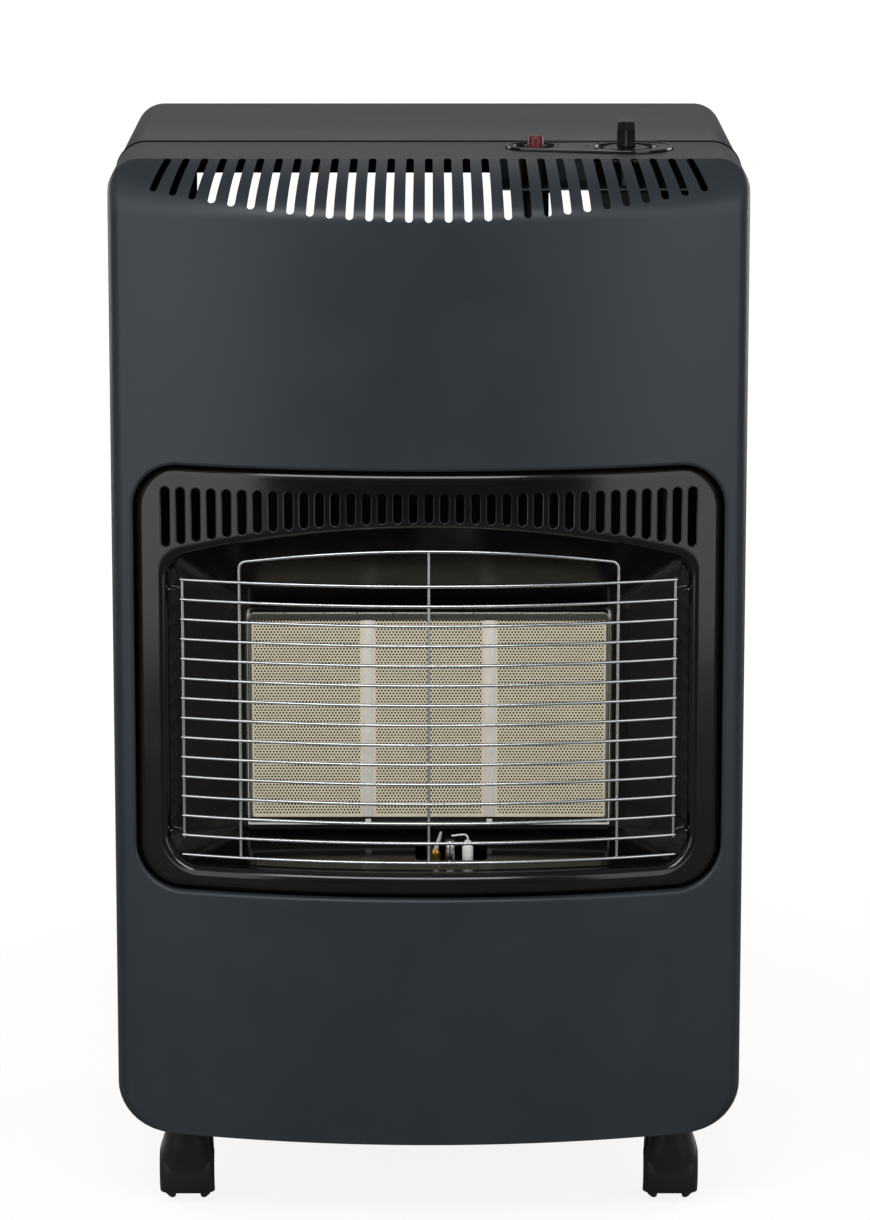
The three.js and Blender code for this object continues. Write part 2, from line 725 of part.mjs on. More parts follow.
function buildManifold(y, mouthZ) {
  const top = mouthZ - injectorHeight + 6;
  const side = manifoldSize / 2;
  const reach = plaquePitch * ((plaqueCount - 1) / 2) + 14;
  let manifold = block(-reach, feedX + side, y - side, y + side, top - manifoldSize, top);
  for (const x of [-plaquePitch / 2, plaquePitch / 2]) {
    manifold = join(manifold, block(x - 8, x + 8, y + side - 1, shieldY - fit, top - 3, top - 1));
  }
  for (let i = 0; i < plaqueCount; i += 1) {
    const x = (i - (plaqueCount - 1) / 2) * plaquePitch;
    const profile = [
      [0, top - 4], [2.5, top - 4], [2.5, top + fit], [5, top + fit], [5, top + 6],
      [3, top + 8], [3, top + injectorHeight], [0, top + injectorHeight],
    ];
    manifold = cut(manifold, post(2.5 + fit, x, y, top - 5, top + 1, 12));
    addPiece(`injector_${i + 1}`, solid(turned(profile, 12)).translate([x, y, 0]), 'brass');
  }
  addPiece('gas_manifold', manifold, 'zincSteel');
  const portX = knobX + portSpacing;
  const runY = portY - 2;
  const route = [
    [portX, portY, valveLow - fit], [portX, portY, valveLow - portDrop],
    [feedX, runY, valveLow - bendDrop], [feedX, runY, burnerHeight],
    [feedX, y, mouthZ + 40], [feedX, y, mouthZ + 20], [feedX, y, top + fit],
  ];
  addPiece('feed_pipe', wire(route, 4, 24), 'zincSteel');
}

// ---------------------------------------------------------------- pilot, electrode and their lines

function buildPilot() {
  const plateZ = surroundMouthLow - 2;
  const [slotLow, slotHigh] = pilotSlotX;
  const reach = pilotSlotDepth / 2 + 4;
  const side = 4;
  const outer = block(
    slotLow - side, slotHigh + side, pilotY - reach, pilotY + reach, plateZ, surroundRearLow);
  const inner = block(
    slotLow - side + sheet, slotHigh + side - sheet, pilotY - reach - 1, pilotY + reach + 1,
    plateZ + sheet, surroundRearLow + 1);
  let bracket = cut(outer, inner, surroundTaper(thinSheet + fit));
  for (const name of Object.keys(pilotX)) {
    const hole = post(pilotRadius[name] + fit, pilotX[name], pilotY, plateZ - 1, plateZ + 2, 16);
    bracket = cut(bracket, hole);
  }
  addPiece('pilot_bracket', bracket, 'zincSteel');

  const low = plateZ - pilotTail;
  const headX = pilotX.burner;
  const head = cut(
    join(
      post(pilotRadius.burner, headX, pilotY, low, pilotTop, 16),
      post(pilotRadius.burner + 1, headX, pilotY, plateZ + 1 + fit, plateZ + 5, 6)),
    post(1.6, headX, pilotY, pilotTop - 8, pilotTop + 1, 10));
  addPiece('pilot_burner', head, 'chrome');

  const probeX = pilotX.thermocouple;
  const probe = join(
    post(pilotRadius.thermocouple, probeX, pilotY, low, pilotTop - 6, 12),
    bar(1.4, [probeX, pilotY, pilotTop - 8], [probeX + 4, pilotY, pilotTop + 6], 10));
  addPiece('thermocouple', probe, 'brass');

  const sparkX = pilotX.electrode;
  const electrode = join(
    post(pilotRadius.electrode, sparkX, pilotY, low, pilotTop, 16),
    wire([
      [sparkX, pilotY, pilotTop - 1], [sparkX, pilotY, pilotTop + 2],
      [sparkX - 1.5, pilotY, pilotTop + 4], [headX + 1, pilotY, pilotTop + 3],
    ], 0.8, 8, 6));
  addPiece('ignition_electrode', electrode, 'porcelain');

  buildPilotLines(low - fit);
}

// the three lines arrive under their heads, each a step lower than the one before
function buildPilotLines(headZ) {
  const portZ = valveLow - fit;
  const drop = burnerHeight - frameHalfZ;
  const [sparkZ, pilotZ, thermoZ] = [2, 3, 4].map((count) => headZ - count * lineStep);
  const rise = (x, z) => [
    [x + 10, pilotY, z], [x + 2.5, pilotY, z + 1.5], [x, pilotY, z + 5], [x, pilotY, headZ],
  ];
  const downBehindBurner = (portX, x) => [
    [portX, portY, portZ], [portX, portY, portZ - portDrop],
    [x, portY - 2, portZ - bendDrop], [x, portY - 2, burnerHeight],
  ];
  const turnY = pilotY + 18;
  const thermoLine = [
    ...downBehindBurner(knobX, thermoX), [thermoX, portY - 4, drop], [thermoX - 22, turnY, thermoZ],
    [lineTurnX, pilotY, thermoZ], ...rise(pilotX.thermocouple, thermoZ),
  ];
  addPiece('thermocouple_lead', wire(thermoLine, 1.25, 36, 5), 'brass');
  const tubeLine = [
    ...downBehindBurner(knobX - portSpacing, pilotTubeX), [pilotTubeX, portY - 4, drop],
    [pilotTubeX - 20, turnY + 4, pilotZ], [lineTurnX, pilotY, pilotZ], ...rise(pilotX.burner, pilotZ),
  ];
  addPiece('pilot_tube', wire(tubeLine, 2, 36, 6), 'aluminised');
  const leadX = plaquePitch / 2 + leadPitch;
  const leadY = shieldY - 6;
  const sparkLine = [
    [buttonX, buttonY, igniterLow - fit], [buttonX, buttonY - 1, igniterLow - 8],
    [buttonX - 3, leadY, shieldTop + 8], [leadX + 6, leadY, burnerHeight + plaqueHeight / 2],
    [leadX + 1, leadY, drop + 40], [leadX, leadY, drop + 4],
    [leadX - 3, leadY - 18, sparkZ + 16],
    [pilotX.electrode + 14, pilotY + 8, sparkZ], ...rise(pilotX.electrode, sparkZ),
  ];
  addPiece('ignition_lead', wire(sparkLine, 1.5, 32, 5), 'redPlastic');
}

// ---------------------------------------------------------------- controls on the top

// outline round two circles, one at each end
function escutcheonShape(inset) {
  const rise = (knobEnd - buttonEnd) / Math.hypot(knobX - buttonX, knobY - buttonY);
  const lean = Math.atan2(knobY - buttonY, knobX - buttonX);
  const spread = Math.PI / 2 + Math.asin(rise);
  const shape = new THREE.Shape();
  shape.absarc(knobX, knobY, knobEnd - inset, lean - spread, lean + spread);
  shape.absarc(buttonX, buttonY, buttonEnd - inset, lean + spread, lean + 2 * Math.PI - spread);
  return shape;
}

function buildControls() {
  const seat = topHeight + fit;
  const face = seat + escutcheonThickness;
  const dish = (radius, x, y, depth, sides) => (
    post(radius + dishWall, x, y, face - depth - dishFloor, face - 0.5, sides));
  const hollow = (radius, x, y, depth, sides) => post(radius, x, y, face - depth, face + 1, sides);
  const escutcheon = cut(
    join(
      solid(prismZ(escutcheonShape(0), seat, face, 8)),
      dish(knobDish, knobX, knobY, knobDishDepth, 24),
      dish(buttonDish, buttonX, buttonY, buttonDishDepth, 20)),
    hollow(knobDish, knobX, knobY, knobDishDepth, 24),
    hollow(buttonDish, buttonX, buttonY, buttonDishDepth, 20),
    post(spindleRadius + 1, knobX, knobY, face - 20, face, 16),
    post(buttonRadius + runningGap, buttonX, buttonY, face - 20, face, 20));
  addPiece('control_escutcheon', escutcheon, 'blackPlastic');

  const knobTopZ = topHeight + knobHeight;
  const skirtLow = face - knobDishDepth + knobTravel + 0.6;
  const skirt = solid(turned([
    [0, skirtLow], [knobSkirt, skirtLow], [knobSkirt, skirtLow + 2.6],
    [knobSkirt - 3, skirtLow + 4.6], [0, skirtLow + 5.6],
  ], 28)).translate([knobX, knobY, 0]);
  const gripHalf = 6;
  const gripReach = 12.5;
  const grip = new THREE.Shape([
    [-gripReach, skirtLow + 2], [gripReach, skirtLow + 2], [gripReach - 1.5, knobTopZ],
    [-gripReach + 7, knobTopZ], [-gripReach + 1, knobTopZ - 5],
  ].map(([y, z]) => new THREE.Vector2(y, z)));
  const gripBody = solid(new THREE.ExtrudeGeometry(grip, { depth: gripHalf * 2, bevelEnabled: false })
    .rotateX(Math.PI / 2).rotateZ(Math.PI / 2).translate(knobX - gripHalf, knobY, 0));
  const spindleTop = knobTopZ - 10;
  const knob = cut(
    join(skirt, gripBody),
    post(spindleRadius + fit, knobX, knobY, skirtLow - 1, spindleTop + fit, 16));
  addPiece('control_knob', knob, 'blackPlastic');
  const spindleLow = valveLow + 18;
  const spindle = post(spindleRadius, knobX, knobY, spindleLow, spindleTop, 16);
  addPiece('control_spindle', spindle, 'zincSteel');

  const plug = cut(
    post(plugRadius, knobX, knobY, valveLow + 4, valveTop - 4, 24),
    post(spindleRadius + fit, knobX, knobY, spindleLow - knobTravel - 1, valveTop, 16));
  addPiece('valve_plug', plug, 'brass');
  const valve = cut(
    block(
      knobX - valveWidth / 2, knobX + valveWidth / 2, knobY - valveDepth / 2, knobY + valveDepth / 2,
      valveLow, valveTop),
    post(plugRadius + runningGap, knobX, knobY, valveLow + 3.5, valveTop + 1, 24));
  addPiece('valve_body', valve, 'aluminised');

  const wallTop = topHeight - sheet - fit;
  const bracketX = [buttonX - bracketLeft, knobX + bracketRight];
  const bracket = cut(
    block(bracketX[0], bracketX[1], knobY - bracketHalfY, knobY + bracketHalfY, bracketZ, wallTop),
    block(
      bracketX[0] + sheet, bracketX[1] - sheet, knobY - bracketHalfY - 1, knobY + bracketHalfY + 1,
      bracketZ + sheet, wallTop + 1),
    post(spindleRadius + 1, knobX, knobY, bracketZ - 1, bracketZ + 2, 16),
    post(igniterRadius + fit, buttonX, buttonY, bracketZ - 1, bracketZ + 2, 20));
  addPiece('control_bracket', bracket, 'zincSteel');

  const igniterTop = face - buttonDishDepth - dishFloor - fit;
  const buttonLow = igniterTop - 12;
  const igniter = cut(
    join(
      post(igniterRadius, buttonX, buttonY, igniterLow, igniterTop, 20),
      post(igniterRadius + 3, buttonX, buttonY, bracketZ - fit - 4, bracketZ - fit, 6)),
    post(
      buttonRadius + runningGap, buttonX, buttonY, buttonLow - buttonTravel - 0.6, igniterTop + 1, 20));
  addPiece('igniter_body', igniter, 'blackPlastic');
  const buttonTop = topHeight + buttonHeight;
  const button = solid(turned([
    [0, buttonLow], [buttonRadius, buttonLow], [buttonRadius, buttonTop - 1],
    [buttonRadius - 1, buttonTop], [0, buttonTop],
  ], 20)).translate([buttonX, buttonY, 0]);
  addPiece('igniter_button', button, 'redPlastic');

  const inletZ = valveLow + 20;
  const inletLow = inletZ - 36;
  const valveRear = knobY + valveDepth / 2;
  const dropY = valveRear + 42;
  const inlet = wire([
    [knobX, valveRear + fit, inletZ], [knobX, dropY - 24, inletZ],
    [knobX, dropY - 6, inletZ - 4], [knobX, dropY, inletZ - 16], [knobX, dropY, inletLow],
  ], 5, 18);
  addPiece('inlet_pipe', inlet, 'zincSteel');
  const nozzleTop = inletLow - fit;
  const barb = [];
  for (let i = 0; i < 4; i += 1) {
    const z = nozzleTop - 12 - i * 6;
    barb.push([5.2, z], [4, z - 6]);
  }
  const bore = 2;
  const nozzle = solid(turned([
    [bore, nozzleTop], [bore, nozzleTop - nozzleLength], [4, nozzleTop - nozzleLength],
    ...barb.reverse(), [7.5, nozzleTop - 9], [7.5, nozzleTop], [bore, nozzleTop],
  ], 12)).translate([knobX, dropY, 0]);
  addPiece('hose_nozzle', nozzle, 'brass');
}

// ---------------------------------------------------------------- cabinet, base and rear cover

// inverted U of the sides and top, seen from the front
function archShape(inset, foot) {
  const x = half - inset;
  const top = topHeight - inset;
  const radius = topCorner - inset;
  const shape = new THREE.Shape();
  shape.moveTo(-x, foot);
  shape.lineTo(x, foot);
  shape.lineTo(x, top - radius);
  shape.absarc(x - radius, top - radius, radius, 0, Math.PI / 2);
  shape.lineTo(-x + radius, top);
  shape.absarc(-x + radius, top - radius, radius, Math.PI / 2, Math.PI);
  return shape;
}

function arch(inset, wall, y0, y1, foot = panelFoot) {
  return cut(
    solid(prismY(archShape(inset, foot), y0, y1, 3)),
    solid(prismY(archShape(inset + wall, foot - 5), y0 - 1, y1 + 1, 3)));
}

function buildCabinet() {
  const wrapFront = seamY + seamGap;
  const shell = arch(0, sheet, wrapFront, cabinetBackY);
  const tongueInset = sheet + tongueGap;
  const foot = panelFoot + footCorner + 4;
  const tongue = arch(tongueInset, sheet, seamY - tongueLength, wrapFront + 10, foot);
  const joint = arch(sheet / 2, sheet + tongueGap, wrapFront, wrapFront + 10, foot);
  addPiece('cabinet_wrap', join(shell, tongue, joint), 'powderCoat');
  // frame of the open back, spot-welded inside the wrap
  const openHalf = half - sideFlange;
  const rear = cut(
    solid(prismY(archShape(sheet, panelFoot), cabinetBackY - sheet, cabinetBackY, 3)),
    block(-openHalf, openHalf, cabinetBackY - 5, cabinetBackY + 5, panelFoot - 5, topHeight - topLip));
  addPiece('rear_frame', rear, 'powderCoat');
}

function trayShape(inset) {
  const wide = half - sheet - fit - inset;
  const rear = cabinetBackY - sheet - fit - inset;
  const step = seamY + seamGap + 12 + inset;
  const narrow = trayHalf - inset;
  return polygon([
    [wide, rear], [-wide, rear], [-wide, step], [-narrow, step],
    ...bowedEdge(narrow, trayInset + inset), [narrow, step], [wide, step],
  ]);
}

function stems() {
  const rearStemY = backY - rearStemSetback;
  const frontStemY = frontY + frontStemSetback;
  return [
    { name: 'front_left', x: -casterX, y: frontStemY },
    { name: 'front_right', x: casterX, y: frontStemY },
    { name: 'rear_left', x: -casterX, y: rearStemY },
    { name: 'rear_right', x: casterX, y: rearStemY },
  ];
}

function buildBase() {
  let tray = cut(
    solid(prismZ(trayShape(0), trayFloor, trayFloor + trayHeight)),
    solid(prismZ(trayShape(sheet), trayFloor + sheet, trayFloor + trayHeight + 1)));
  for (const { x, y } of stems()) {
    const bossTop = trayFloor + stemSocket + 2;
    tray = join(tray, post(2 * stemRadius, x, y, trayFloor + sheet / 2, bossTop, 12));
    tray = cut(tray, post(stemRadius + runningGap, x, y, trayFloor - 1, bossTop + 1, 16));
  }
  const ledgeTop = coverLow - fit;
  const ledgeFront = cabinetBackY - sheet - fit - sheet / 2;
  for (const x of [-ledgeX, ledgeX]) {
    const ledge = block(
      x - ledgeHalf, x + ledgeHalf, ledgeFront, backY - 0.4, ledgeTop - 1.5, ledgeTop);
    tray = join(tray, ledge);
  }
  addPiece('base_tray', tray, 'powderCoat');
}

function buildRearCover() {
  const coverFront = backY - sheet;
  const side = coverWidth / 2;
  const outline = roundedRect(-side, side, coverLow, coverTop, 6);
  const rimHalf = half - sideFlange - 2;
  const rimLow = coverLow + 30;
  const rimTop = coverTop - 6;
  const rim = cut(
    block(-rimHalf, rimHalf, coverFront - coverRim, coverFront + sheet / 2, rimLow, rimTop),
    block(
      -rimHalf + thinSheet, rimHalf - thinSheet, coverFront - coverRim - 1, coverFront + 1,
      rimLow - 1, rimTop - thinSheet));
  let cover = join(solid(prismY(outline, coverFront, backY)), rim);
  for (const row of louvreRows) {
    const low = coverLow + row;
    for (let i = -louvreReach; i <= louvreReach; i += 1) {
      const x = i * louvrePitch;
      const louvre = capsule(x, low, x, low + louvreHeight, louvreRadius);
      cover = cut(cover, solid(prismY(louvre, coverFront - 1, backY + 1)));
    }
  }
  addPiece('rear_cover', cover, 'powderCoat');
}

function buildShield() {
  const wide = half - sheet - fit - 1.5;
  const narrow = trayHalf - sheet - fit - 0.5;
  const floor = trayFloor + sheet + fit;
  const step = trayFloor + trayHeight + 12;
  const outline = polygon([
    [-narrow, floor], [narrow, floor], [narrow, step], [wide, step],
    [wide, shieldTop], [-wide, shieldTop], [-wide, step], [-narrow, step],
  ]);
  const plate = solid(prismY(outline, shieldY, shieldY + thinSheet));
  const flangeDepth = 12;
  const flanges = [-1, 1].map((side) => {
    const x0 = side < 0 ? -wide : wide - thinSheet;
    return block(x0, x0 + thinSheet, shieldY, shieldY + flangeDepth, step, shieldTop);
  });
  const footing = block(-narrow, narrow, shieldY, shieldY + flangeDepth, floor, floor + thinSheet);
  addPiece('heat_shield', join(plate, ...flanges, footing), 'aluminised');
}

// ---------------------------------------------------------------- casters

// one caster round its stem axis at floor level, its hood facing the front
function buildCaster({ name, x, y }) {
  const caster = new THREE.Group();
  caster.position.set(x, y, 0);
  heater.add(caster);
  const axleY = casterTrail;
  const axleZ = wheelRadius;
  const hoodRadius = wheelRadius + hoodGap + hoodWall;
  const side = casterWidth / 2;
  const aboutX = (profile, sides) => solid(
    turned(profile, sides).rotateY(Math.PI / 2).translate(0, axleY, axleZ));
  const across = (radius, x0, x1, sides) => (
    bar(radius, [x0, axleY, axleZ], [x1, axleY, axleZ], sides));

  const drum = aboutX([
    [0, -side], [hoodRadius - 3.5, -side], [hoodRadius, -side + 4.5],
    [hoodRadius, side - 4.5], [hoodRadius - 3.5, side], [0, side],
  ], 20);
  const pocket = wheelRadius + hoodGap;
  const lipZ = 6;
  const behind = axleY + 9;
  const neckTop = trayFloor - fit;
  let hood = join(drum, post(13, 0, 0, axleZ, neckTop, 16));
  hood = cut(
    hood,
    across(pocket, webHalf, side + 5, 20), across(pocket, -side - 5, -webHalf, 20),
    block(-side - 1, side + 1, -60, 90, -5, lipZ),
    block(webHalf, side + 1, behind, 90, -5, 90),
    block(-side - 1, -webHalf, behind, 90, -5, 90),
    across(axleRadius + fit, -webHalf - 1, webHalf + 1, 16),
    post(stemRadius + fit, 0, 0, axleZ + 8, neckTop + 1, 12));
  addPiece(`caster_hood_${name}`, hood, 'blackPlastic', caster);

  const stem = post(stemRadius, 0, 0, axleZ + 8.4, trayFloor + stemSocket, 16);
  addPiece(`caster_stem_${name}`, stem, 'zincSteel', caster);
  const axleEnd = side - 2.4;
  addPiece(`caster_axle_${name}`, across(axleRadius, -axleEnd, axleEnd, 12), 'zincSteel', caster);

  const bore = axleRadius + runningGap;
  const inner = webHalf + 0.4;
  const outer = inner + wheelWidth;
  for (const [hand, sign] of [['left', -1], ['right', 1]]) {
    const wheel = aboutX([
      [bore, sign * inner], [wheelRadius, sign * inner], [wheelRadius, sign * (outer - 3)],
      [wheelRadius - 3, sign * outer], [wheelRadius - 8, sign * outer],
      [wheelRadius - 9, sign * (outer - 1.5)], [bore, sign * (outer - 1.5)], [bore, sign * inner],
    ], 20);
    addPiece(`caster_wheel_${name}_${hand}`, wheel, 'rubber', caster);
  }
}

buildFrontPanel();
buildBezel();
buildSurround();
buildGuard();
buildBurner();
buildPilot();
buildControls();
buildCabinet();
buildBase();
buildRearCover();
buildShield();
stems().forEach(buildCaster);

export default heater;
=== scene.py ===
import math

import bmesh
import bpy
from mathutils import Matrix, Vector


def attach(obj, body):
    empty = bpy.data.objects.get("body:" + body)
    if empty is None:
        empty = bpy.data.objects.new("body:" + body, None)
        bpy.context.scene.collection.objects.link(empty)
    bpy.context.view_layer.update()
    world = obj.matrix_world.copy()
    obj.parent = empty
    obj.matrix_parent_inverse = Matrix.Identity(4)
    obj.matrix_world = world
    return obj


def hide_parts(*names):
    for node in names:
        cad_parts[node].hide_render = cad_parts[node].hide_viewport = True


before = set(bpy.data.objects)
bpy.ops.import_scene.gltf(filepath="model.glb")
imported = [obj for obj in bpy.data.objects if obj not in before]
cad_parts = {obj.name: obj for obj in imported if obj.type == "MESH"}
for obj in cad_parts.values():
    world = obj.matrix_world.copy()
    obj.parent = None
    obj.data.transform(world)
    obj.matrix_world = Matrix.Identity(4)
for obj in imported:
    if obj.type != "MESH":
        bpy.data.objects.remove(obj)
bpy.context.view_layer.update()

mm = 0.001
scene = bpy.context.scene
scene.view_settings.view_transform = "Standard"
print("frame loaded:", len(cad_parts), "nodes")


# camera, fitted to the photograph's perspective

cameraLook = {
    "focalPx": 5103.0, "photoPx": 1220, "pitch": 11.736, "forward": -3.4687, "height": 1.1077,
    "shiftPx": -6.2,
}


def placeCamera(look):
    data = bpy.data.cameras.new("heaterCamera")
    data.sensor_fit = "VERTICAL"
    data.sensor_height = 36.0
    data.lens = look["focalPx"] / look["photoPx"] * data.sensor_height
    data.shift_x = -look["shiftPx"] / look["photoPx"]
    data.clip_end = 50
    camera = bpy.data.objects.new("heaterCamera", data)
    camera.location = (0, look["forward"], look["height"])
    camera.rotation_euler = (math.radians(90 - look["pitch"]), 0, 0)
    scene.collection.objects.link(camera)
    scene.camera = camera


placeCamera(cameraLook)


# ways of shaping, all in millimetres

def clearSelection():
    if bpy.context.mode != "OBJECT":
        bpy.ops.object.mode_set(mode="OBJECT")
    bpy.ops.object.select_all(action="DESELECT")


def makeActive(piece):
    clearSelection()
    piece.select_set(True)
    bpy.context.view_layer.objects.active = piece


def placeLoop(piece, before, after):
    # the picked loop lies on its last outline, so each point is found there and moved to the next
    mesh = bmesh.from_edit_mesh(piece.data)
    spot = {tuple(round(c / mm, 3) for c in point): target for point, target in zip(before, after)}
    for vert in mesh.verts:
        if vert.select:
            vert.co = spot[tuple(round(c / mm, 3) for c in vert.co)]
    bmesh.update_edit_mesh(piece.data)


def stackOutlines(name, outlines, ring=False):
    # a circle is put on the first outline and extruded through the others:
    # a capped solid, or with ring a tube that closes on itself
    outlines = [[Vector(point) * mm for point in outline] for outline in outlines]
    clearSelection()
    fill = "NOTHING" if ring else "NGON"
    count = len(outlines[0])
    bpy.ops.mesh.primitive_circle_add(vertices=count, radius=1, fill_type=fill)
    piece = bpy.context.active_object
    piece.name = name
    for vert, point in zip(piece.data.vertices, outlines[0]):
        vert.co = point
    bpy.ops.object.mode_set(mode="EDIT")
    bpy.ops.mesh.select_mode(type="EDGE" if ring else "FACE")
    bpy.ops.mesh.select_all(action="SELECT")
    if ring:
        outlines.append(outlines[0])
    for before, after in zip(outlines, outlines[1:]):
        bpy.ops.mesh.extrude_region_move(TRANSFORM_OT_translate={"value": (0, 0, 0)})
        placeLoop(piece, before, after)
    bpy.ops.mesh.select_all(action="SELECT")
    if ring:
        bpy.ops.mesh.remove_doubles(threshold=0.0005 * mm)
        bpy.ops.mesh.select_all(action="SELECT")
    bpy.ops.mesh.normals_make_consistent(inside=False)
    bpy.ops.object.mode_set(mode="OBJECT")
    return piece


def alongY(outline, y):
    return [(x, y, z) for x, z in outline]


def alongZ(outline, z):
    return [(x, y, z) for x, y in outline]


def mirrored(points):
    return [(-x, other) for x, other in reversed(points)]


def quarter(steps):
    # the angles of a quarter turn
    return [i / steps * math.pi / 2 for i in range(steps + 1)]


def prismY(name, outline, y0, y1):
    return stackOutlines(name, [alongY(outline, y0), alongY(outline, y1)])


def prismZ(name, outline, z0, z1):
    return stackOutlines(name, [alongZ(outline, z0), alongZ(outline, z1)])


def block(name, low, high):
    outline = [(low[0], low[1]), (high[0], low[1]), (high[0], high[1]), (low[0], high[1])]
    return prismZ(name, outline, low[2], high[2])


def circleAt(centre, along, across, radius, sides):
    points = []
    for i in range(sides):
        turn = 2 * math.pi * i / sides
        points.append(centre + along * (radius * math.cos(turn)) + across * (radius * math.sin(turn)))
    return points


def turnAbout(name, axis, centre, profile, sides=32, ring=False):
    # profile of radius and distance along the axis
    axis = Vector(axis)
    along = Vector((0, 1, 0)) if abs(axis.x) > 0.5 else Vector((1, 0, 0))
    across = axis.cross(along)
    outlines = [
        circleAt(Vector(centre) + axis * distance, along, across, radius, sides)
        for radius, distance in profile]
    return stackOutlines(name, outlines, ring)


def turnUp(name, x, y, profile, sides=32):
    # profile of radius and height
    return turnAbout(name, (0, 0, 1), (x, y, 0), profile, sides)


def tube(name, path, radius, sides=12):
    path = [Vector(point) for point in path]
    outlines = []
    along = None
    for i, point in enumerate(path):
        ahead = path[min(i + 1, len(path) - 1)]
        behind = path[max(i - 1, 0)]
        heading = (ahead - behind).normalized()
        if along is None:
            guide = Vector((0, 0, 1)) if abs(heading.z) < 0.7 else Vector((1, 0, 0))
            along = heading.cross(guide).normalized()
        along = (along - heading * along.dot(heading)).normalized()
        size = radius[i] if isinstance(radius, list) else radius
        outlines.append(circleAt(point, along, heading.cross(along), size, sides))
    return stackOutlines(name, outlines)


def smoothRoute(points, steps):
    # Catmull-Rom curve through the points
    points = [Vector(point) for point in points]
    padded = [2 * points[0] - points[1]] + points + [2 * points[-1] - points[-2]]
    route = []
    for i in range(len(points) - 1):
        a, b, c, d = padded[i:i + 4]
        for k in range(steps):
            t = k / steps
            route.append(0.5 * (2 * b + (c - a) * t + (2 * a - 5 * b + 4 * c - d) * t ** 2
                                + (3 * b - a - 3 * c + d) * t ** 3))
    return route + [points[-1]]


def roundedRect(x0, x1, y0, y1, radius, steps=8):
    corners = [(x1 - radius, y0 + radius, -90), (x1 - radius, y1 - radius, 0),
               (x0 + radius, y1 - radius, 90), (x0 + radius, y0 + radius, 180)]
    points = []
    for cx, cy, start in corners:
        for i in range(steps + 1):
            turn = math.radians(start + 90 * i / steps)
            points.append((cx + radius * math.cos(turn), cy + radius * math.sin(turn)))
    return points


def stepsBetween(a, b, count=56):
    # the points strictly between two others
    return [tuple(p + (q - p) * (i / count) for p, q in zip(a, b)) for i in range(1, count)]


def squareRing(halfX, low, high, radius, steps=14):
    # a rounded rectangle about X = 0, with as many points on each side as any other
    corners = roundedRect(-halfX, halfX, low, high, radius, steps)
    points = []
    for k in range(0, len(corners), steps + 1):
        arc = corners[k:k + steps + 1]
        points += arc + stepsBetween(arc[-1], corners[(k + steps + 1) % len(corners)])
    return points


def between(a, b, share):
    # an outline part of the way from one to another
    return [tuple(p + (q - p) * share for p, q in zip(u, v)) for u, v in zip(a, b)]


def slotOutline(x0, z0, x1, z1, radius, steps=8):
    lean = math.atan2(z1 - z0, x1 - x0)
    points = []
    for x, z, start in ((x1, z1, lean - math.pi / 2), (x0, z0, lean + math.pi / 2)):
        for i in range(steps + 1):
            turn = start + math.pi * i / steps
            points.append((x + radius * math.cos(turn), z + radius * math.sin(turn)))
    return points


def applyModifier(piece, kind, settings):
    makeActive(piece)
    modifier = piece.modifiers.new(kind.lower(), kind)
    for key, value in settings.items():
        setattr(modifier, key, value)
    bpy.ops.object.modifier_apply(modifier=modifier.name)


def combine(piece, others, operation):
    others = list(others)
    if len(others) > 1:
        makeActive(others[0])
        for other in others[1:]:
            other.select_set(True)
        bpy.ops.object.join()
    applyModifier(piece, "BOOLEAN", {
        "operation": operation, "solver": "MANIFOLD", "object": others[0]})
    bpy.data.objects.remove(others[0])
    return piece


def carve(piece, *cutters):
    return combine(piece, cutters, "DIFFERENCE")


def unite(piece, other):
    combine(piece, [other], "UNION")


def gather(piece, *others):
    makeActive(piece)
    for other in others:
        other.select_set(True)
    bpy.ops.object.join()
    return piece


def roundEdges(piece, width, segments=2, angle=35):
    applyModifier(piece, "BEVEL", {
        "width": width * mm, "segments": segments, "limit_method": "ANGLE",
        "angle_limit": math.radians(angle), "use_clamp_overlap": True})
    return piece


def copyOf(piece, name, shift):
    twin = piece.copy()
    twin.data = piece.data.copy()
    twin.name = name
    scene.collection.objects.link(twin)
    twin.data.transform(Matrix.Translation(Vector(shift) * mm))
    return twin


def softened(nodeName, name, width):
    # a copy of the CAD node with its loose triangles merged and its edges rounded
    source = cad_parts[nodeName]
    piece = source.copy()
    piece.data = source.data.copy()
    piece.parent = None
    piece.matrix_world = Matrix.Identity(4)
    piece.name = name
    for key in list(piece.keys()):
        del piece[key]
    scene.collection.objects.link(piece)
    makeActive(piece)
    bpy.ops.mesh.customdata_custom_splitnormals_clear()
    bpy.ops.object.mode_set(mode="EDIT")
    bpy.ops.mesh.select_all(action="SELECT")
    bpy.ops.mesh.remove_doubles(threshold=0.002 * mm)
    bpy.ops.mesh.select_all(action="SELECT")
    bpy.ops.mesh.dissolve_limited(angle_limit=math.radians(0.6))
    bpy.ops.object.mode_set(mode="OBJECT")
    if width:
        roundEdges(piece, width, 2, 40)
    return piece


def finish(piece, name, body, nodes, material, smooth=32, flat=False):
    piece.name = name
    piece.data.name = name
    makeActive(piece)
    bpy.ops.object.shade_smooth_by_angle(angle=math.radians(smooth))
    if flat:                            # broad faces keep their own shading beside rounded edges
        applyModifier(piece, "WEIGHTED_NORMAL", {"weight": 80, "keep_sharp": True})
    piece.data.materials.clear()
    piece.data.materials.append(material)
    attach(piece, body)
    if nodes:
        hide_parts(*nodes)


# materials

def fromHex(code):
    parts = [int(code[i:i + 2], 16) / 255 for i in (1, 3, 5)]
    linear = [c / 12.92 if c <= 0.04045 else ((c + 0.055) / 1.055) ** 2.4 for c in parts]
    return (*linear, 1.0)


def emptyTree(owner):
    owner.use_nodes = True
    owner.node_tree.nodes.clear()
    return owner.node_tree


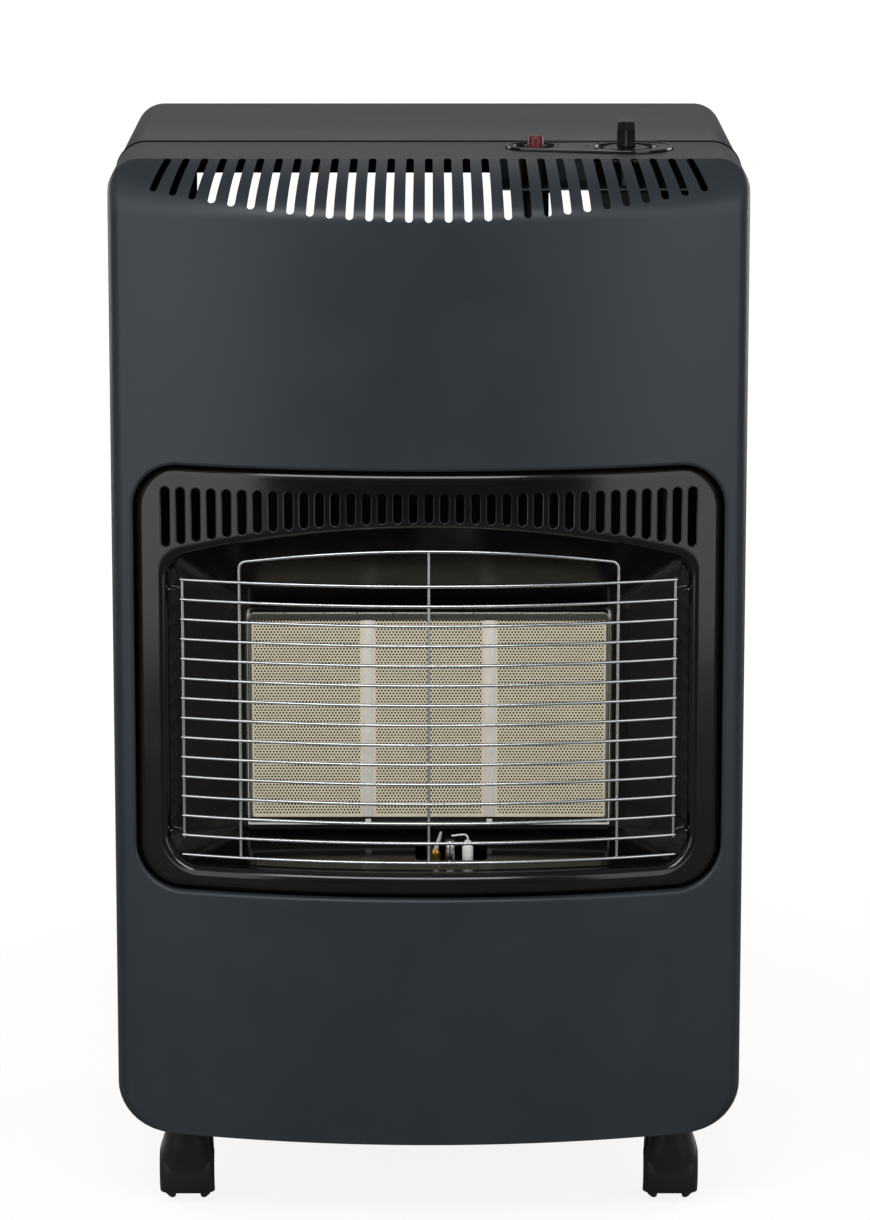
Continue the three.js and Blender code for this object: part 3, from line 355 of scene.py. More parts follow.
def addNode(tree, kind, settings=None, links=None):
    node = tree.nodes.new(kind)
    for key, value in (settings or {}).items():
        if isinstance(key, int) or key in node.inputs:
            node.inputs[key].default_value = value
        else:
            setattr(node, key, value)
    for key, source in (links or {}).items():
        tree.links.new(source, node.inputs[key])
    return node


def makeFinish(name, look):
    # two colours in soft patches, roughness that wanders with them, and a fine grain as bump
    material = bpy.data.materials.new(name)
    tree = emptyTree(material)
    place = addNode(tree, "ShaderNodeTexCoord").outputs["Object"]
    if "stretch" in look:
        place = addNode(tree, "ShaderNodeMapping", {"Scale": look["stretch"]},
                        {"Vector": place}).outputs["Vector"]
    patches = addNode(tree, "ShaderNodeTexNoise", {
        "Scale": 1 / (look["patch"] * mm), "Detail": 4.0, "Roughness": 0.6}, {"Vector": place})
    spread = addNode(tree, "ShaderNodeMapRange", {
        "From Min": 0.3, "From Max": 0.7}, {"Value": patches.outputs["Fac"]})
    colour = addNode(tree, "ShaderNodeMix", {"data_type": "RGBA"}, {0: spread.outputs["Result"]})
    colour.inputs[6].default_value = fromHex(look["colour"])
    colour.inputs[7].default_value = fromHex(look["tint"])
    colourOut = colour.outputs[2]
    grain = addNode(tree, "ShaderNodeTexNoise", {
        "Scale": 1 / (look["grain"] * mm), "Detail": 2.0}, {"Vector": place})
    if "fleck" in look:
        # specks of a second colour at the grain's own size
        speck = addNode(tree, "ShaderNodeMapRange", {
            "From Min": 0.58, "From Max": 0.68}, {"Value": grain.outputs["Fac"]})
        fleck = addNode(tree, "ShaderNodeMix", {"data_type": "RGBA"},
                        {0: speck.outputs["Result"], 6: colourOut})
        fleck.inputs[7].default_value = fromHex(look["fleck"])
        colourOut = fleck.outputs[2]
    low, high = look["roughness"]
    rough = addNode(tree, "ShaderNodeMapRange", {
        "From Min": 0.3, "From Max": 0.7, "To Min": low, "To Max": high},
        {"Value": patches.outputs["Fac"]})
    bump = addNode(tree, "ShaderNodeBump", {
        "Strength": look["bump"], "Distance": look["depth"] * mm},
        {"Height": grain.outputs["Fac"]})
    shader = addNode(tree, "ShaderNodeBsdfPrincipled", look.get("shader"), {
        "Base Color": colourOut, "Roughness": rough.outputs["Result"],
        "Normal": bump.outputs["Normal"]})
    addNode(tree, "ShaderNodeOutputMaterial", None, {"Surface": shader.outputs["BSDF"]})
    return material


# polyester powder coat, baked on steel: satin, with a faint orange peel of about 1.5 mm
powderCoat = makeFinish("charcoalPowderCoat", {
    "colour": "#282f35", "tint": "#2c3339", "patch": 60, "roughness": (0.36, 0.42),
    "grain": 1.5, "depth": 0.05, "bump": 0.35, "shader": {"IOR": 1.45}})
# vitreous enamel, fired: near-black glass that waves a little over the pressed sheet
blackEnamel = makeFinish("blackVitreousEnamel", {
    "colour": "#060707", "tint": "#0a0a0b", "patch": 35, "roughness": (0.12, 0.17),
    "grain": 14, "depth": 0.12, "bump": 0.25, "shader": {"IOR": 1.5}})
# bright nickel-chrome plating on drawn wire, smooth with faint drawing marks
chromeWire = makeFinish("chromedWire", {
    "colour": "#d2d4d6", "tint": "#c2c5c8", "patch": 25, "roughness": (0.2, 0.28),
    "grain": 9, "depth": 0.02, "bump": 0.1, "shader": {"Metallic": 1.0}})
# drawn nickel-steel sheath of the thermocouple: pale and satin
paleSteel = makeFinish("paleNickelSheath", {
    "colour": "#d9d6cf", "tint": "#c8c4bb", "patch": 4, "roughness": (0.3, 0.42),
    "grain": 0.5, "depth": 0.02, "bump": 0.2, "shader": {"Metallic": 0.8}})
# painted shade: stainless sheet coloured near black where the frame's lower lip faces down into shade
lipShade = makeFinish("paintedShadeStainless", {
    "colour": "#090908", "tint": "#11100f", "patch": 12, "roughness": (0.5, 0.65),
    "grain": 0.8, "depth": 0.03, "bump": 0.3})
# ferritic stainless sheet, brushed across, discoloured a little by heat
stainless = makeFinish("brushedStainlessSheet", {
    "colour": "#84837d", "tint": "#6b6962", "patch": 18, "roughness": (0.24, 0.34),
    "stretch": (0.08, 1, 1), "grain": 0.5, "depth": 0.02, "bump": 0.3,
    "shader": {"Metallic": 1.0}})
# cordierite, pressed and fired: chalky and cream, with fine grog
ceramic = makeFinish("firedCordierite", {
    "colour": "#f5ebd2", "tint": "#ece1c4", "patch": 9, "roughness": (0.82, 0.92),
    "grain": 0.35, "depth": 0.05, "bump": 0.4, "fleck": "#d3c8aa"})
# painted shade: the floors of the plaques' bores, dark brown, standing for the shade deep in the holes
boreShade = makeFinish("paintedShadeBores", {
    "colour": "#1d150d", "tint": "#291e13", "patch": 5, "roughness": (0.9, 0.97),
    "grain": 0.4, "depth": 0.05, "bump": 0.3})
# alumina fibre board between the plaques: white and matted
fibre = makeFinish("aluminaFibreBoard", {
    "colour": "#efece5", "tint": "#e2dfd7", "patch": 5, "roughness": (0.9, 0.97),
    "stretch": (1, 1, 0.35), "grain": 0.4, "depth": 0.12, "bump": 0.5})
# zinc plate, passivated: grey with a faint blue cast
zincSteel = makeFinish("zincPlatedSteel", {
    "colour": "#a4b3b7", "tint": "#8f9da2", "patch": 8, "roughness": (0.36, 0.5),
    "grain": 0.6, "depth": 0.02, "bump": 0.25, "shader": {"Metallic": 0.7}})
# aluminised sheet: dull and pale, with a rolled lengthwise grain
aluminised = makeFinish("aluminisedSheet", {
    "colour": "#8a8d90", "tint": "#7a7d7f", "patch": 14, "roughness": (0.42, 0.56),
    "stretch": (1, 1, 0.15), "grain": 0.7, "depth": 0.02, "bump": 0.3,
    "shader": {"Metallic": 1.0}})
# painted shade: aluminised sheet coloured nearly black, so the chamber behind the bezel slots reads as
# shade
shieldShade = makeFinish("paintedShadeShieldSheet", {
    "colour": "#1f2021", "tint": "#2b2b2a", "patch": 20, "roughness": (0.6, 0.75),
    "grain": 0.7, "depth": 0.03, "bump": 0.3})
# die-cast aluminium, coloured dark grey, with a grain of about half a millimetre
castAluminium = makeFinish("castAluminium", {
    "colour": "#4c4d4e", "tint": "#3c3d3e", "patch": 7, "roughness": (0.45, 0.6),
    "grain": 0.5, "depth": 0.08, "bump": 0.5, "shader": {"Metallic": 0.8}})
# turned brass, slightly tarnished
brass = makeFinish("turnedBrass", {
    "colour": "#e2b65c", "tint": "#c89a48", "patch": 5, "roughness": (0.24, 0.38),
    "grain": 0.4, "depth": 0.02, "bump": 0.25, "shader": {"Metallic": 1.0}})
# glazed electrical porcelain: white and slightly warm
porcelain = makeFinish("glazedPorcelain", {
    "colour": "#fbfaf6", "tint": "#f1eee8", "patch": 4, "roughness": (0.18, 0.26),
    "grain": 2, "depth": 0.03, "bump": 0.2})
# ABS, moulded to a polish: black, with flow marks that barely show
glossPlastic = makeFinish("glossBlackAbs", {
    "colour": "#08090a", "tint": "#0c0d0e", "patch": 12, "roughness": (0.12, 0.18),
    "grain": 5, "depth": 0.04, "bump": 0.2, "shader": {"IOR": 1.5}})
# nylon, moulded with a fine spark-eroded grain of about 0.4 mm
mattePlastic = makeFinish("grainedBlackNylon", {
    "colour": "#191a1b", "tint": "#1f2021", "patch": 10, "roughness": (0.42, 0.54),
    "grain": 0.4, "depth": 0.04, "bump": 0.35})
# ABS, moulded to a polish: dark red
redPlastic = makeFinish("darkRedAbs", {
    "colour": "#5f0a16", "tint": "#520812", "patch": 4, "roughness": (0.26, 0.36),
    "grain": 3, "depth": 0.04, "bump": 0.2})
# painted shade: a black, matted strip that fills the seam, standing for the shadow gap between the
# panels
seamShadowFinish = makeFinish("paintedSeamShadow", {
    "colour": "#08090a", "tint": "#0e0f10", "patch": 4, "roughness": (0.93, 0.98),
    "grain": 0.5, "depth": 0.1, "bump": 0.5, "shader": {"Specular IOR Level": 0.1}})
# silicone sleeve of the ignition lead
redSilicone = makeFinish("redSilicone", {
    "colour": "#9a2a2a", "tint": "#862222", "patch": 6, "roughness": (0.5, 0.62),
    "grain": 0.8, "depth": 0.03, "bump": 0.3})
# hard rubber tread, dusty
wheelRubber = makeFinish("hardWheelRubber", {
    "colour": "#3b3733", "tint": "#47423d", "patch": 9, "roughness": (0.6, 0.75),
    "grain": 0.5, "depth": 0.06, "bump": 0.45})
print("materials made")


# the bowed body that the front panel, the bezel and the window follow

body = {
    "half": 210, "front": -200, "top": 718, "foot": 63, "bow": 565,
    "edge": 13, "topCorner": 20, "footCorner": 30, "crease": -141, "shoulder": 35,
    "sweep": math.radians(40), "seam": -45, "seamGap": 1.6, "sheet": 1.0,
}
bowCentre = body["front"] + body["bow"]


def bowY(x, inset=0.0):
    return bowCentre - math.sqrt((body["bow"] - inset) ** 2 - x * x)


def bowed(outline, inset):
    # an outline laid on the bow, at a depth behind its front
    return [(x, bowY(x, inset), z) for x, z in outline]


def bodyOutline(z, levelHalf, inset, forward, rear, bowSteps=64, edgeSteps=10):
    # one level: straight sides, rounded upright edges, bowed front
    rounding = max(body["edge"] - inset, 0.5)
    cornerX = levelHalf - rounding
    reach = body["bow"] - inset - rounding
    cornerY = bowCentre - math.sqrt(reach ** 2 - cornerX ** 2)
    lean = math.asin(cornerX / reach)
    edge = []
    for i in range(edgeSteps + 1):
        turn = math.pi + i / edgeSteps * (math.pi / 2 - lean)
        edge.append((-cornerX + rounding * math.cos(turn), cornerY + rounding * math.sin(turn)))
    radius = body["bow"] - inset
    bow = []
    for i in range(1, bowSteps):
        turn = lean * (2 * i / bowSteps - 1)
        bow.append((radius * math.sin(turn), bowCentre - radius * math.cos(turn)))
    points = [(levelHalf, rear), (-levelHalf, rear)] + edge + bow + mirrored(edge)
    crease = body["crease"]
    return [(x, crease + (y - crease) * forward if y < crease else y, z) for x, y in points]


def shoulderForward(z, high):
    # share of the bow's depth that is left at a height of the shoulder
    spring = body["top"] - body["shoulder"]
    rise = min(max((z - spring) / (high - spring), 0), 1)
    turn = math.asin(rise * math.sin(body["sweep"]))
    return max((math.cos(turn) - math.cos(body["sweep"])) / (1 - math.cos(body["sweep"])), 0)


def bodyPlug(name, inset, rear):
    low = body["foot"] + inset
    high = body["top"] - inset
    footRadius = max(body["footCorner"] - inset, 1)
    topRadius = max(body["topCorner"] - inset, 1)
    fullHalf = body["half"] - inset
    outlines = []
    for turn in quarter(10):
        levelHalf = fullHalf - footRadius * (1 - math.sin(turn))
        level = low + footRadius * (1 - math.cos(turn))
        outlines.append(bodyOutline(level, levelHalf, inset, 1, rear))
    spring = body["top"] - body["shoulder"]
    cornerLow = high - topRadius
    levels = [spring + (cornerLow - spring) * i / 6 for i in range(6)]
    levels += [cornerLow + topRadius * math.sin(turn) for turn in quarter(12)]
    for z in levels:
        above = max(z - cornerLow, 0)
        levelHalf = fullHalf - topRadius + math.sqrt(max(topRadius ** 2 - above ** 2, 0))
        outlines.append(bodyOutline(z, levelHalf, inset, shoulderForward(z, high), rear))
    return stackOutlines(name, outlines)


# front panel: pressed sheet with vents, window lip and holes for the controls

panel = {
    "vents": 29, "ventWidth": 5.0, "upperPitch": 12.2, "lowerPitch": 12.8, "reach": 34.7,
    "smile": 6.3e-4, "slant": math.radians(35), "trayHalf": 178, "footFlange": 12,
    "windowHalf": 195, "windowLow": 232.7, "windowHigh": 520, "windowCorner": 30,
    "lipRound": 2.6, "lipDepth": 5.0, "knob": (131, -85, 23.0), "button": (71, -81, 17.0),
}


def windowShape(grow):
    # half width, lowest and highest level and corner radius of the window, at an offset
    return (panel["windowHalf"] + grow, panel["windowLow"] - grow, panel["windowHigh"] + grow,
            panel["windowCorner"] + grow)


def windowRing(grow):
    return squareRing(*windowShape(grow))


def ventCutter(index):
    lowerX = index * panel["lowerPitch"]
    upperX = index * panel["upperPitch"]
    slope = math.tan(panel["slant"])
    radius = panel["ventWidth"] / 2
    lowerZ = body["top"] - panel["reach"] + panel["smile"] * lowerX ** 2
    lower = lowerZ + (bowY(lowerX) - body["front"]) * slope + radius
    upper = body["top"] + (body["crease"] - body["front"]) * slope - radius
    outline = slotOutline(lowerX, lower, upperX, upper, radius)
    ends = []
    for y in (body["front"] - 10, body["crease"] + 6):
        ends.append([(x, y, z - (y - body["front"]) * slope) for x, z in outline])
    return stackOutlines("vent", ends)


def makeFrontPanel():
    pastSeam = body["seam"] + 5
    shell = bodyPlug("frontPanel", 0, body["seam"])
    carve(shell, bodyPlug("hollow", body["sheet"], pastSeam))
    footSide = panel["trayHalf"] + 1
    across = [footSide * (i / 20 - 1) for i in range(41)]
    foot = [(footSide, pastSeam), (-footSide, pastSeam)]
    foot += [(x, bowY(x, panel["footFlange"])) for x in across]
    carve(shell, prismZ("foot", foot, body["foot"] - 3, body["foot"] + 3))
    half, low, high, radius = windowShape(panel["lipRound"])
    grown = roundedRect(-half, half, low, high, radius, 14)
    carve(shell, prismY("window", grown, body["front"] - 15, body["front"] + 90))
    reach = panel["vents"] // 2
    carve(shell, *[ventCutter(i) for i in range(-reach, reach + 1)])
    for x, y, radius in (panel["knob"], panel["button"]):
        carve(shell, turnUp("hole", x, y, [(radius, body["top"] - 6), (radius, body["top"] + 6)], 48))
    roundEdges(shell, 0.35)

    # lip of the window: the sheet turns in through a small radius
    lip = panel["lipRound"]
    profile = [(lip * (1 - math.sin(turn)), lip * (1 - math.cos(turn))) for turn in quarter(6)]
    profile += [(0, panel["lipDepth"]), (0.9, panel["lipDepth"]), (0.9, lip), (lip, 0.95)]
    outlines = [bowed(windowRing(grow), inset) for grow, inset in profile]
    gather(shell, stackOutlines("windowLip", outlines, ring=True))
    finish(shell, "frontPanelPressing", "heater", ["front_panel"],
           powderCoat, 30, flat=True)


# window bezel: enamelled plate with rolled borders round the window and the arched opening

bezel = {
    "face": 2.2, "outerRoll": 6.0, "outerDepth": 8.0, "innerRoll": 6.5, "innerDepth": 14.0,
    "openHalf": 172.6, "openLow": 249.5, "openHigh": 481.8, "shoulderZ": 460.3,
    "shoulderX": 158, "sideTop": 447, "corner": 20,
    "slots": 35, "slotPitch": 10.2, "slotRadius": 3.4, "slotTop": 505.8, "slotLow": 485.2,
    "slotArc": 730, "slotRound": 1.0, "sheet": 1.1, "lap": 3.4,
}


def openingRing(grow):
    # the arched opening, with the same point count as the window's ring
    half = bezel["openHalf"] + grow
    low = bezel["openLow"] - grow
    high = bezel["openHigh"] + grow
    radius = bezel["corner"] + grow
    foot = [(half - radius + radius * math.sin(turn), low + radius - radius * math.cos(turn))
            for turn in quarter(14)]
    # each upper corner is one bent curve, and the crown between them one arc
    endX, endZ = bezel["shoulderX"], bezel["shoulderZ"] + grow
    bend = [(half, bezel["sideTop"]), (half, endZ - 4), (endX, endZ)]
    corner = []
    for i in range(15):
        t = i / 14
        corner.append(tuple(
            (1 - t) ** 2 * a + 2 * t * (1 - t) * b + t ** 2 * c for a, b, c in zip(*bend)))
    rise = high - endZ
    crownRadius = (endX ** 2 + rise ** 2) / (2 * rise)
    lean = math.asin(endX / crownRadius)
    crown = []
    for i in range(1, 56):
        turn = lean * (1 - i / 28)
        crown.append((crownRadius * math.sin(turn), high - crownRadius * (1 - math.cos(turn))))
    right = foot + stepsBetween(foot[-1], corner[0]) + corner
    left = mirrored(right)
    return right + crown + left + stepsBetween(left[-1], right[0])


def makeBezel():
    face = bezel["face"]
    sheet = bezel["sheet"]
    # each roll as offsets from its edge, with the depth of each
    roll = bezel["outerRoll"]
    outer = [(-0.5 - roll * (1 - math.cos(turn)), face + roll * (1 - math.sin(turn)))
             for turn in quarter(8)]
    roll = bezel["innerRoll"]
    inner = [(roll * (1 - math.sin(turn)), face + roll * (1 - math.cos(turn))) for turn in quarter(8)]
    hidden = windowRing(bezel["lap"])
    mouth = bezel["innerDepth"]
    front = [bowed(hidden, bezel["outerDepth"] + 0.2)]
    front += [bowed(windowRing(offset), inset) for offset, inset in outer]
    last = windowRing(outer[-1][0])
    first = openingRing(inner[0][0])
    for share in (0.03, 0.3, 0.6, 0.94):
        front.append(bowed(between(last, first, share), face))
    front += [bowed(openingRing(offset), inset) for offset, inset in inner]
    front.append(bowed(openingRing(0), mouth))
    # the sheet's rear side, one thickness behind
    back = [bowed(openingRing(1.0), mouth)]
    back += [bowed(openingRing(offset + 1.0), inset + sheet) for offset, inset in reversed(inner)]
    back.append(bowed(windowRing(outer[-1][0] - 0.6), face + sheet))
    back += [bowed(windowRing(offset - 0.8), inset + sheet) for offset, inset in reversed(outer[:-1])]
    back.append(bowed(hidden, bezel["outerDepth"] + 1.2))
    plate = stackOutlines("bezelPlate", front + back, ring=True)
    reach = bezel["slots"] // 2
    outlines = [bezelSlot(index, 0) for index in range(-reach, reach + 1)]
    carve(plate, *[prismY("slot", outline, body["front"] - 15, body["front"] + 50)
                   for outline in outlines])
    gather(plate, *[slotCollar(index) for index in range(-reach, reach + 1)])
    finish(plate, "windowBezelEnamelled", "heater", ["window_bezel"],
           blackEnamel, 40)


def bezelSlot(index, grow):
    # the lower ends of the slots lie on an arc
    x = index * bezel["slotPitch"]
    radius = bezel["slotRadius"]
    low = bezel["slotLow"] - x * x / (2 * bezel["slotArc"]) + radius
    return slotOutline(x, low, x, bezel["slotTop"] - radius, radius + grow)


def slotCollar(index):
    # the sheet is drawn back round each slot, so its rim is rounded
    rim = bezel["slotRound"]
    face = bezel["face"]
    profile = [(0.3, face + 0.02), (0.2, face - 0.12), (-0.1, face - 0.16), (-rim * 0.45, face + 0.05),
               (-rim * 0.85, face + 0.6), (-rim, face + 1.4), (-rim, face + 4.5),
               (-rim + 0.5, face + 4.5), (0.3, face + 1.0)]
    return stackOutlines("collar", [
        bowed(bezelSlot(index, grow), inset) for grow, inset in profile], ring=True)


# splayed surround between the opening and the burner

surround = {
    "rearX": 122.9, "rearLow": 262.4, "rearHigh": 415.0, "rearY": -126.7, "rearCorner": 4,
    "mouthInset": 11.0, "mouthGrow": 1.4, "sheet": 0.8, "slot": (-9, 39, -171, -149),
    "slotLevels": (235, 268),
    "hookHole": (168, -162, 3.3),
}


def rearRing(grow):
    return squareRing(surround["rearX"] + grow, surround["rearLow"] - grow,
                      surround["rearHigh"] + grow, surround["rearCorner"])


def makeSurround():
    sides = []
    for wall in (0, surround["sheet"]):
        mouth = bowed(openingRing(surround["mouthGrow"] + wall), surround["mouthInset"])
        rear = alongY(rearRing(wall), surround["rearY"])
        sides.append([between(mouth, rear, k / 8) for k in range(9)])
    inner, outer = sides
    walls = stackOutlines("surroundWalls", inner + outer[::-1], ring=True)
    x0, x1, y0, y1 = surround["slot"]
    outline = roundedRect(x0, x1, y0, y1, 4, 6)
    carve(walls, prismZ("pilotSlot", outline, *surround["slotLevels"]))
    x, y, radius = surround["hookHole"]
    for side, reach in ((-1, (-12, 7)), (1, (-7, 12))):
        carve(walls, *[turnAbout("hookHole", (1, 0, 0), (side * x, y, z), [
            (radius, distance) for distance in reach], 20) for z in guard["hooks"]])
    finish(walls, "surroundEnamelled", "heater", ["reflector_surround"],
           blackEnamel, 40)


# chromed wire guard

guard = {
    "wires": 15, "radius": 1.1, "low": 255.6, "pitch": 13.35, "half": 164, "inset": 8.0,
    "frameX": 125, "corner": 456.5, "top": 465.5, "hooks": (271.5, 435.8), "hookX": 170.5,
    "bend": 5.0,
}


def makeGuard():
    radius = guard["radius"]
    back = guard["inset"] + 1.9 * radius
    pieces = []

    def addWire(path, sizes=radius):
        pieces.append(tube("wire", path, sizes, 10))

    tapered = [radius * 0.82] + [radius] * 39 + [radius * 0.82]
    for i in range(guard["wires"]):
        z = guard["low"] + i * guard["pitch"]
        addWire(bowed([(guard["half"] * (k / 20 - 1), z) for k in range(41)], guard["inset"]), tapered)
    top = guard["low"] + (guard["wires"] - 1) * guard["pitch"]
    for side in (-1, 1):
        x = side * (guard["half"] - 1)
        y = bowY(x, back)
        addWire([(x, y, guard["low"] + guard["pitch"] - 2), (x, y, top + 1)])
        for z in guard["hooks"]:
            run = guard["hookX"] - guard["half"] + 1
            addWire(smoothRoute([(x, y + 0.2, z), (x + side * run * 0.5, y + run * 0.5, z),
                                 (x + side * run, y + run, z)], 4))
        # frame upright, bent over at its top into the arched bar
        frameX, corner, bend = guard["frameX"], guard["corner"], guard["bend"]
        inner = frameX - bend
        route = [(frameX, z) for z in (guard["low"] - 1, 300, 350, 400, corner - bend)]
        for k in range(1, 7):
            turn = k / 6 * math.radians(84)
            route.append((inner + bend * math.cos(turn), corner - bend + bend * math.sin(turn)))
        for k in range(1, 19):
            share = 1 - k / 18
            route.append((inner * share, corner + (guard["top"] - corner) * (1 - share ** 2)))
        addWire(bowed([(side * x, z) for x, z in route], back))
    middle = bowY(0, back)
    addWire([(0, middle, guard["low"] - 1), (0, middle, guard["top"])])
    finish(gather(*pieces), "wireGuardChromed", "heater", ["wire_guard"],
           chromeWire, 60)


# burner: perforated plaques, frame and fibre strips

plaque = {
    "width": 76, "height": 138.1, "thick": 13, "front": -140, "centreZ": 343.05, "pitch": 81.4,
    "holePitch": 2.2, "holeRadius": 0.74, "holeDepth": 2.4, "margin": 1.2, "proud": 0.03,
    "cordHalf": 3.2, "cordProud": 0.7,
}


def makePlaqueField():
    # one cell of the hole pattern, arrayed over the plaque
    reach = plaque["holePitch"] / math.sqrt(3)
    clearSelection()
    bpy.ops.mesh.primitive_circle_add(
        vertices=6, radius=reach * mm, fill_type="NGON", rotation=(math.pi / 2, 0, 0))
    bpy.ops.object.transform_apply(location=False, rotation=True, scale=False)
    cell = bpy.context.active_object
    bpy.ops.object.mode_set(mode="EDIT")
    bpy.ops.mesh.select_mode(type="FACE")
    bpy.ops.mesh.select_all(action="SELECT")
    apothem = reach * math.cos(math.pi / 6)
    bpy.ops.mesh.inset(thickness=(apothem - plaque["holeRadius"] * math.cos(math.pi / 6)) * mm)
    bpy.ops.mesh.extrude_region_move(
        TRANSFORM_OT_translate={"value": (0, plaque["holeDepth"] * mm, 0)})
    bpy.ops.object.mode_set(mode="OBJECT")
    columns = int((plaque["width"] - 2 * plaque["margin"]) / plaque["holePitch"])
    rows = int((plaque["height"] - 2 * plaque["margin"]) / (1.5 * reach))
    twin = copyOf(cell, "cellTwin", (plaque["holePitch"] / 2, 0, 1.5 * reach))
    gather(cell, twin)
    merge = {"use_relative_offset": False, "use_constant_offset": True,
             "use_merge_vertices": True, "merge_threshold": 0.02 * mm}
    applyModifier(cell, "ARRAY", dict(merge, count=columns, constant_offset_displace=(
        plaque["holePitch"] * mm, 0, 0)))
    applyModifier(cell, "ARRAY", dict(merge, count=rows // 2, constant_offset_displace=(
        0, 0, 3 * reach * mm)))
    spanX = (columns - 0.5) * plaque["holePitch"]
    spanZ = (rows // 2 * 2 - 1) * 1.5 * reach
    cell.data.transform(Matrix.Translation(Vector((
        -spanX / 2, plaque["front"] - plaque["proud"], plaque["centreZ"] - spanZ / 2)) * mm))
    return cell


def makePlaques():
    halfX = plaque["width"] / 2
    halfZ = plaque["height"] / 2
    low = plaque["centreZ"] - halfZ
    field = makePlaqueField()
    slab = block("slab", (-halfX, plaque["front"], low),
                 (halfX, plaque["front"] + plaque["thick"], low + 2 * halfZ))
    rim = plaque["margin"] + 1.2
    pocket = block("pocket", (-halfX + rim, plaque["front"] - 1, low + rim),
                   (halfX - rim, plaque["front"] + plaque["holeDepth"] + 0.2, low + 2 * halfZ - rim))
    roundEdges(slab, 0.5, 3)
    carve(slab, pocket)
    gather(slab, field)
    floor = plaque["front"] - plaque["proud"] + plaque["holeDepth"]
    bores = [face.index for face in slab.data.polygons
             if abs(face.center.y - floor * mm) < 0.9 * plaque["holeDepth"] * mm
             and face.area < 3 * mm * mm]
    for i in range(3):
        shift = (i - 1) * plaque["pitch"]
        tile = copyOf(slab, f"tile{i}", (shift, 0, 0))
        finish(tile, f"ceramicPlaquePerforated{i + 1}", "heater", [f"ceramic_plaque_{i + 1}"],
               ceramic, 25)
        # the bore floors take the dark brown finish: painted shade in the holes
        tile.data.materials.append(boreShade)
        for index in bores:
            tile.data.polygons[index].material_index = 1
    bpy.data.objects.remove(slab)


frameLook = {
    "halfX": 120.9, "halfZ": 72.9, "centreZ": 341.9, "sideLip": 2.6, "endLip": 5.4,
    "lip": -141.1, "flange": -126.4, "shadeTop": 274.9,
    "welds": (-96, -70, -48, -24, 30, 62, 94),
}


def makeBurnerFrame():
    # stainless frame: a narrow lapped lip with rounded corners, side walls and a flange
    halfX, halfZ, z = frameLook["halfX"], frameLook["halfZ"], frameLook["centreZ"]
    openX, openZ = halfX - frameLook["sideLip"], halfZ - frameLook["endLip"]
    lip, flange = frameLook["lip"], frameLook["flange"]

    outlines = []
    for x, rise, grow, radius, y in (       # the size it grows from, by how much, corner and depth
            (openX, openZ, 0, 1.5, lip + 0.2), (openX, openZ, 0.25, 1.7, lip),
            (halfX, halfZ, -1.0, 3.2, lip), (halfX, halfZ, -0.3, 3.8, lip + 0.35),
            (halfX, halfZ, 0, 4.2, lip + 1.2), (halfX, halfZ, 0, 4.2, flange - 0.6),
            (halfX, halfZ, 0.6, 4.6, flange), (halfX, halfZ, 9, 6, flange),
            (halfX, halfZ, 9, 6, flange + 0.8), (halfX, halfZ, -0.2, 3.8, flange + 0.8),
            (halfX, halfZ, -0.6, 3.4, flange - 0.4), (halfX, halfZ, -0.6, 3.4, lip + 0.9),
            (openX, openZ, 0, 1.5, lip + 0.8)):
        outlines.append(alongY(roundedRect(
            -x - grow, x + grow, z - rise - grow, z + rise + grow, radius, 6), y))
    rim = stackOutlines("burnerRim", outlines, ring=True)
    for vert in rim.data.vertices:      # the lower lip is hemmed back and faces down
        below = (z - openZ) - vert.co.z / mm
        if below > 0.1 and vert.co.y / mm < lip + 2:
            vert.co.y += min(below, 4.5) * mm
    # small tack welds along the upper edge, left by the spot welder
    gather(rim, *[turnAbout("weld", (0, 1, 0), (x, lip - 0.1, z + halfZ - 1.5), [
        (1.1, -0.15), (1.5, 0.05), (1.5, 0.2)], 14) for x in frameLook["welds"]])
    finish(rim, "burnerFrameStainless", "heater", ["burner_frame"],
           stainless, 40)
    # the faces lowest on the frame take the near-black finish: painted shade on the lower lip
    rim.data.materials.append(lipShade)
    for face in rim.data.polygons:
        if face.center.z < frameLook["shadeTop"] * mm:
            face.material_index = 1


def makeCords():
    # fibre cords that bulge out of the two joints between the plaques
    half, front = plaque["cordHalf"], plaque["front"]
    low = plaque["centreZ"] - plaque["height"] / 2 + 0.5
    for number, x in ((1, -plaque["pitch"] / 2), (2, plaque["pitch"] / 2)):
        cord = block("cord", (x - half, front - plaque["cordProud"], low),
                     (x + half, front + 0.1, low + plaque["height"] - 1))
        roundEdges(cord, 0.3)
        finish(cord, f"fibreCord{number}", "heater", [], fibre, 40)


# pilot group

pilot = {
    "y": -160, "top": 263, "low": 239.5, "thermocouple": 4.4, "burner": 14.2, "electrode": 26.0,
    "burnerNut": 245.9, "probeNut": 250.6, "collar": 247, "spark": 0.65,
}


